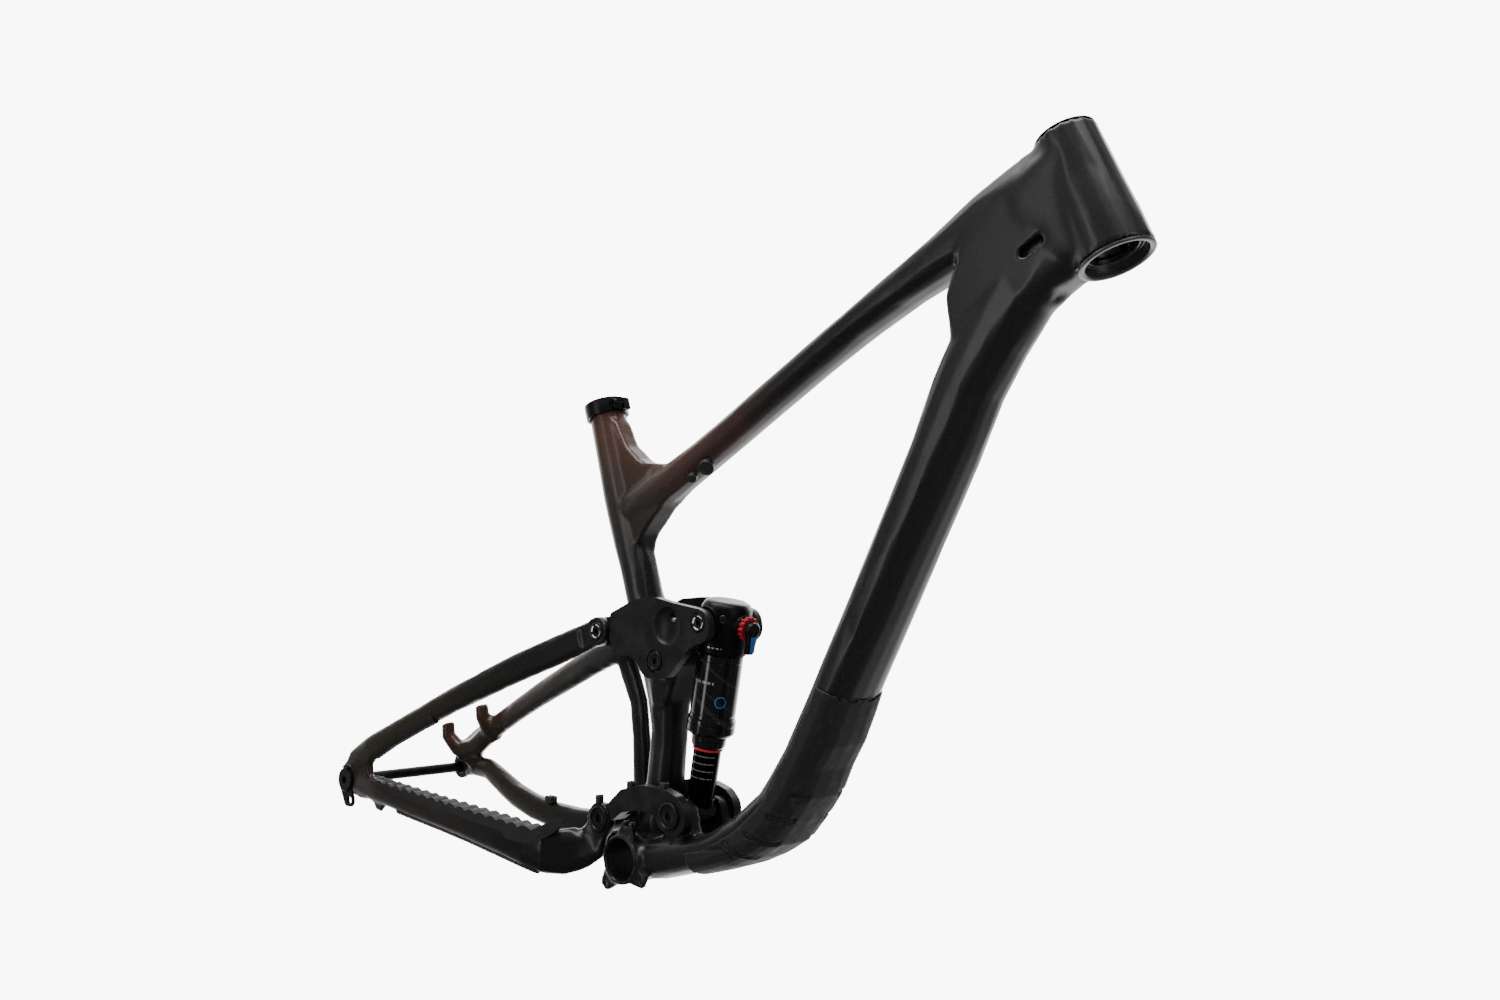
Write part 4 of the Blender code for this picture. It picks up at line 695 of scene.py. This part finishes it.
for tag, side in (("left", 1), ("right", -1)):
    bolt("seatstay_bolt_" + tag, side, 3.0, (5.7, 6.7))
    bolt("trunnion_bolt_" + tag, side, 3.0, (5.6, 6.6))
    bolt("main_pivot_cap_" + tag, side, 3.4, cap=3.0)
    bolt("lower_front_cap_" + tag, side, 4.2, dish=0.9)
    bolt("lower_rear_cap_" + tag, side, 4.2, dish=0.9)
print("bolt materials:", len([m for m in bpy.data.materials if "ring" in m.name]))

# %% [markdown]
# ## Links
# The rocker and the lower link are forged and then machined, so every edge has a small round. The packed
# plates have sharp edges, and a bevel on a joined copy gives them that round. The rocker also has a dished
# pocket on each side, which a turned cutter takes out.

# %% Links, clamps and small fixed parts
POCKET_X, POCKET_Z = 0.052, 0.2275
POCKET_DISH = [(-12, 0), (-12, 18.3), (0, 18.3), (1.6, 17.4), (3.4, 15.2), (4.9, 12.0), (6.0, 8.0),
               (6.4, 4.0), (6.5, 0)]

rocker = refine("rocker_link", link_finish, 32, 0.0009)
low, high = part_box("rocker_link")
for side in (1, -1):
    cut_away(rocker, turned((POCKET_X, side * high.y, POCKET_Z), (0, -side, 0), POCKET_DISH, 64))
only(rocker)
bpy.ops.object.shade_smooth_by_angle(angle=math.radians(28))
use_modifier(rocker, "WEIGHTED_NORMAL", weight=100, keep_sharp=True)
refine("lower_link", link_finish, 32, 0.0008)
refine("seat_clamp", anodised_finish, 40, 0.0004)
refine("derailleur_hanger", anodised_finish, 40, 0.0004)
refine("shock_head", anodised_finish, 38, 0.0005)
refine("rebound_dial", red_finish, 30, 0.0003)
refine("lock_lever", anodised_finish, 40, 0.0004)
print("rocker faces:", len(rocker.data.polygons))

# %% [markdown]
# The cable clips are small plastic saddles. Each stands on the smoothed surface below it by a short foot, and
# a groove for the cable runs across its top.

# %% Cable clips and tube plugs
CLIP_ROUNDING, GROOVE_SHARE = 0.0012, 0.22


def cable_clip(name, foot):
    """A saddle with a groove across its top, on a foot that many millimetres deep."""
    low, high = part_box(name)
    low = low - Vector((0, 0, foot * MM))
    centre, size = (low + high) / 2, high - low
    bpy.ops.object.select_all(action="DESELECT")
    bpy.ops.mesh.primitive_cube_add(size=1, location=centre, scale=size)
    ob = bpy.context.object
    only(ob)
    bpy.ops.object.transform_apply(location=True, rotation=True, scale=True)
    use_modifier(ob, "BEVEL", width=CLIP_ROUNDING, segments=3, limit_method="ANGLE")
    top = Vector((centre.x, centre.y, high.z))
    cut_away(ob, turned(top, (1, 0, 0), rod(20, size.y / MM * GROOVE_SHARE), 24))
    return finish_piece(ob, name + "_fine", body_of[name], plastic_finish, 35, (name,))


cable_clip("cable_clip_chainstay", 1.0)
cable_clip("cable_clip_ear", 4.5)
cable_clip("link_clip_front", 3.5)
cable_clip("link_clip_rear", 4.5)
for name in ("top_tube_plug_large", "top_tube_plug_small"):
    refine(name, plastic_finish, 40, 0.0004)
print("clips and plugs: 6")

# %% [markdown]
# ## Head cups
# The upper cup shows only as a thin dark rim. The lower one is a grey ring, and the steerer bearing sits
# inside it.

# %% Head cups
UPPER_CUP = [(-13.4, 20.2), (-13.4, 21.8), (-1.4, 21.9), (-1.4, 24.8), (-1.1, 25.1), (-0.3, 25.0), (0, 24.5),
             (0, 21.0), (-0.7, 20.2), (-13.4, 20.2)]
LOWER_CUP = [(15.8, 27.8), (15.8, 25.8), (1.2, 25.8), (0.5, 26.4), (0, 27.4), (0, 29.6), (0.5, 30.6),
             (1.1, 31.0), (2.0, 31.0), (2.3, 30.6), (2.3, 27.8), (15.8, 27.8)]
LOWER_RACE = [(13.0, 25.4), (13.0, 20.5), (12.6, 20.0), (8.4, 20.0), (8.0, 20.5), (8.0, 22.0), (8.3, 22.4),
              (8.3, 23.6), (8.0, 24.0), (8.0, 25.4), (13.0, 25.4)]

upper = turned(head_top, head_axis, UPPER_CUP, 96)
finish_piece(upper, "head_cup_upper_fine", "front", anodised_finish, 30, ("head_cup_upper",))
lower = turned(head_low, head_axis, LOWER_CUP, 96)
finish_piece(lower, "head_cup_lower_fine", "front", grey_finish, 30, ("head_cup_lower",))
race = turned(head_low, head_axis, LOWER_RACE, 96)
finish_piece(race, "head_bearing_lower", "front", bearing_finish, 30)
print("race faces:", len(race.data.polygons))

# %% [markdown]
# ## Shock
# The air can is gloss black with a stepped collar at its lower end. Below it come the seal head, the red
# travel ring and the polished shaft with its white travel marks. The parts are turned about the line from the
# trunnion to the lower eye, and their sections count down from the trunnion. Grey bars, a blue ring and the
# marks are masks along that line, on the side that faces out.

# %% Prints on the shock
SHOCK_SIDE = (shock_fore * 0.45 + RIGHT * 0.89).normalized()
SHOCK_ACROSS = shock_down.cross(SHOCK_SIDE)
CAN_BARS = ((42, 45), (66, 68), (79, 84))
BAR_SLANT, BLOCK_PITCH, DASH_PITCH = 0.7, 5.2, 4.4
SHAFT_MARKS, MARK_WIDTH = (128, 135, 142, 149), 0.9


def on_side(mat, least):
    """1 where the surface faces out, at least that many millimetres from the shock's axis."""
    reach = distance_along(mat, SHOCK_SIDE, shock_top)
    return add_node(mat, "ShaderNodeMath", (reach, least * MM), operation="GREATER_THAN")


def can_finish():
    """Gloss black with slanted grey bars, a blue ring and a row of small grey blocks."""
    mat = polished("gloss_black_can", "#0c0c0e", 0.3, 0.12, 0.6)
    shader = mat.node_tree.nodes["Principled BSDF"]
    down, side = distance_along(mat, shock_down, shock_top), on_side(mat, 6)
    across = distance_along(mat, SHOCK_ACROSS, shock_top)
    skew = add_node(mat, "ShaderNodeMath", (down, all_of(mat, across, BAR_SLANT)), operation="ADD")
    for low, high in CAN_BARS:
        painted(mat, shader, all_of(mat, band(mat, skew, low, high), side), "#232427")
    blocks = dashes(mat, across, 2 * math.pi / (BLOCK_PITCH * MM), -0.5)
    row = all_of(mat, blocks, band(mat, down, 55, 57.5), side, band(mat, across, -4, 17))
    painted(mat, shader, row, "#7c7e82")
    badge_at = shock_top + (shock_down * 73 + SHOCK_SIDE * 19 - SHOCK_ACROSS * 12) * MM
    painted(mat, shader, ring_of(mat, badge_at, 4.8, 5.5), "#3d7fc4")
    return mat


def shaft_marks():
    """Polished shaft with four short white lines, on the side that faces out."""
    mat = polished("polished_marked_shaft", "#101013", 0.9, 0.09)
    shader = mat.node_tree.nodes["Principled BSDF"]
    down, side = distance_along(mat, shock_down, shock_top), on_side(mat, 8)
    for at in SHAFT_MARKS:
        painted(mat, shader, all_of(mat, band(mat, down, at, at + MARK_WIDTH), side), "#d6d6d4")
    return mat


def head_marks():
    """Anodised head with a few short white dashes printed near its lower edge."""
    mat = blasted("anodised_head_with_marks", "#131314", 0.75, 0.34, 0.4, 0.008)
    shader = mat.node_tree.nodes["Principled BSDF"]
    down, side = distance_along(mat, shock_down, shock_top), on_side(mat, 4)
    across = distance_along(mat, SHOCK_ACROSS, shock_top)
    row = dashes(mat, across, 2 * math.pi / (DASH_PITCH * MM), -0.4)
    mask = all_of(mat, row, band(mat, down, 21.6, 22.7), side, band(mat, across, -7, 8))
    painted(mat, shader, mask, "#d0d0ce")
    return mat


# %% Can and shaft
CAN = [(29.4, 0), (29.4, 21.0), (30.2, 21.9), (36.0, 21.9), (36.3, 21.6), (37.0, 21.6), (37.3, 21.9),
       (86.5, 21.9), (86.9, 21.4), (88.0, 21.4), (88.4, 21.9), (91.5, 22.0), (93.2, 23.2), (96.0, 23.3),
       (96.4, 22.8), (97.4, 22.8), (97.8, 23.3), (104.6, 23.2), (106.2, 22.3), (107.8, 20.6), (107.8, 17.4),
       (108.6, 16.9), (112.2, 16.8), (112.6, 16.3), (113.2, 16.3), (113.6, 16.6), (118.2, 16.2),
       (119.8, 15.4), (120.4, 14.8), (120.4, 13.8), (98.1, 13.8), (98.1, 15.9), (34.2, 15.9), (34.2, 0)]
SHAFT = [(86.2, 0), (86.2, 12.9), (86.6, 13.3), (168.4, 13.3), (169.0, 13.0), (170.0, 13.0), (170.5, 13.4),
         (172.8, 13.7), (175.3, 13.7), (176.4, 12.6), (180.0, 10.8), (180.0, 0)]
EYE_BARREL = [(-11.4, 10.4), (-11.4, 11.8), (-10.8, 12.5), (10.8, 12.5), (11.4, 11.8), (11.4, 10.4),
              (-11.4, 10.4)]
TRAVEL_RING = [(121.1, 13.75), (121.1, 14.2), (121.4, 14.45), (123.0, 14.45), (123.3, 14.2), (123.3, 13.75),
               (121.1, 13.75)]

can = turned(shock_top, shock_down, CAN, 96)
finish_piece(can, "shock_can_fine", "shock_can", can_finish(), 28, ("shock_air_can",))
shaft = turned(shock_top, shock_down, SHAFT, 80)
cut_away(shaft, turned(shock_eye, LEFT, rod(30, 10.3), 48))
finish_piece(shaft, "shock_shaft_fine", "shock_shaft", shaft_marks(), 28, ("shock_shaft",))
eye = turned(shock_eye, LEFT, EYE_BARREL)
finish_piece(eye, "shock_eye_barrel", "shock_shaft", gloss_finish, 30)
travel = turned(shock_top, shock_down, TRAVEL_RING)
finish_piece(travel, "travel_ring_fine", "shock_can", ring_finish, 40, ("travel_ring",))
print("shock can faces:", len(can.data.polygons))

# %% Valve cap and bleed plug
VALVE_CAP = [(-2.9, 0), (-2.9, 4.3), (-1.6, 4.3), (-1.4, 4.0), (-1.0, 4.0), (-0.8, 4.3), (1.6, 4.2),
             (2.6, 3.5), (2.9, 2.6), (2.9, 0)]
PLUG = [(-3.4, 0), (-3.4, 4.1), (0.1, 4.1), (0.6, 3.7), (0.6, 2.9), (0.2, 2.6), (0.2, 0)]

valve_cap = turned(middle("air_valve_cap"), -shock_fore, VALVE_CAP, 48)
finish_piece(valve_cap, "air_valve_cap_fine", "shock_can", anodised_finish, 30, ("air_valve_cap",))
plug_at = middle("bleed_plug")
plug_out = (plug_at - shock_top - shock_down * (plug_at - shock_top).dot(shock_down)).normalized()
plug = turned(plug_at + plug_out * MM, plug_out, PLUG, 48)
cut_away(plug, hex_key(plug_at + plug_out * MM, plug_out, 1.5, 1.6))
finish_piece(plug, "bleed_plug_fine", "shock_can", grey_dark_finish, 30, ("bleed_plug",))
wear(bpy.data.objects["shock_head_fine"], head_marks())
print("plug faces:", len(plug.data.polygons))

# %% [markdown]
# ## Lever face
# The black lock lever carries a blue insert on its front. It starts as a cube, is narrowed towards the tip
# and gets rounded edges.

# %% Blue lever face
INSERT_SIZE, INSERT_TAPER, INSERT_ROUNDING = Vector((1.0, 7.6, 15.0)) * MM, 0.66, 0.0004
INSERT_FORE, INSERT_DOWN = 39.6 * MM, 13.4 * MM

bpy.ops.object.select_all(action="DESELECT")
bpy.ops.mesh.primitive_cube_add(size=1)
insert = bpy.context.object
bpy.ops.object.mode_set(mode="EDIT")
bpy.ops.mesh.select_all(action="DESELECT")
mesh = bmesh.from_edit_mesh(insert.data)
for face in mesh.faces:
    face.select_set(face.calc_center_median().z < -0.4)
bmesh.update_edit_mesh(insert.data)
bpy.ops.transform.resize(value=(1, INSERT_TAPER, 1))
bpy.ops.object.mode_set(mode="OBJECT")
shock_frame = Matrix((shock_fore, LEFT, -shock_down)).transposed().to_4x4()
shock_frame.translation = shock_top + shock_fore * INSERT_FORE + shock_down * INSERT_DOWN
insert.matrix_world = shock_frame @ Matrix.Diagonal((*INSERT_SIZE, 1))
only(insert)
bpy.ops.object.transform_apply(location=True, rotation=True, scale=True)
use_modifier(insert, "BEVEL", width=INSERT_ROUNDING, segments=3, limit_method="ANGLE")
finish_piece(insert, "lever_face", "lever", blue_finish, 35)
print("insert faces:", len(insert.data.polygons))

# %% [markdown]
# ## Rubber guards
# The down tube guard is moulded over the tube, with slanted grooves pressed into its side and a row of short
# bars on its belly. The skin is rebuilt finely, and then the points near each groove's line are pressed in.
# A line is given by its two ends in the side view, forward and up from the bottom bracket, in millimetres.

# %% Guards
SLASHES = [((214, 87), (240, 80)), ((190, 67), (218, 60)), ((164, 48), (192, 38)), ((138, 36), (162, 24))]
BELLY_BARS = [((234, 64), (246, 70)), ((211, 38), (224, 44)), ((177, 14), (190, 22))]
PANEL_EDGE = [((80, 21), (134, 31)), ((134, 31), (144, 25))]
SIDE_FROM, BELLY_TO = 0.020, 0.030


def near_segment(p, start, end):
    """Distance in mm of a point from a line in the side view."""
    a, b, q = Vector(start), Vector(end), Vector((p.x, p.z)) / MM
    t = max(0.0, min(1.0, (q - a).dot(b - a) / (b - a).length_squared))
    return (q - a - (b - a) * t).length

def press(ob, lines, width, depth, test):
    """Push the points near the lines in by depth, in mm, in two steps that leave a soft shoulder."""
    for share in (1.0, 0.55):
        only(ob)
        bpy.ops.object.mode_set(mode="EDIT")
        bpy.ops.mesh.select_all(action="DESELECT")
        mesh = bmesh.from_edit_mesh(ob.data)
        for v in mesh.verts:
            v.select_set(test(v.co) and min(near_segment(v.co, *line) for line in lines) < width * share)
        mesh.select_flush_mode()
        bmesh.update_edit_mesh(ob.data)
        bpy.ops.transform.shrink_fatten(value=-depth / 2 * MM)
        bpy.ops.object.mode_set(mode="OBJECT")


guard = moulded_skin("down_tube_guard", rubber_finish, GUARD_VOXEL, 6)
press(guard, SLASHES, 3.0, 2.2, lambda p: abs(p.y) > SIDE_FROM)
press(guard, PANEL_EDGE, 1.8, 1.2, lambda p: abs(p.y) > SIDE_FROM)
press(guard, BELLY_BARS, 3.4, 1.8, lambda p: abs(p.y) < BELLY_TO)
for name in ("chainstay_guard", "chainstay_under_strip", "seatstay_guard"):
    refine(name, rubber_finish, 32, 0.0003)

# %% [markdown]
# The chainstay guard has a row of hollow ribs along its top that quieten a slapping chain. One rib is a short
# rounded barrel that lies across the guard; it is made once, and each copy gets a mesh of its own.

# %% Guard ribs
RIB_PITCH = 9.6
RIB = [(-6.2, 0), (-6.2, 2.0), (-5.4, 3.4), (-3.6, 4.2), (0, 4.5), (3.6, 4.2), (5.4, 3.4), (6.2, 2.0),
       (6.2, 0)]
FIRST_RIB, LAST_RIB = Vector((-0.386, -0.0745, 0.0325)), Vector((-0.086, -0.0700, 0.0155))
RIB_LEAN = Vector((0.35, 1.0, 0.0)).normalized()

run = LAST_RIB - FIRST_RIB
rib_count = int(run.length / MM / RIB_PITCH)
rib = turned((0, 0, 0), RIB_LEAN, RIB, 28)
finish_piece(rib, "guard_rib_01", "rear", rubber_finish, 50)
for count in range(2, rib_count + 1):
    copied = bpy.data.objects.new("guard_rib_%02d" % count, rib.data.copy())
    bpy.context.scene.collection.objects.link(copied)
    copied.location = FIRST_RIB + run * (count - 1) / (rib_count - 1)
    finish_piece(copied, "guard_rib_%02d" % count, "rear", rubber_finish, 50)
rib.location = FIRST_RIB
only(rib)
bpy.ops.object.transform_apply(location=True, rotation=True, scale=True)
print("ribs:", rib_count, "guard faces:", len(guard.data.polygons))
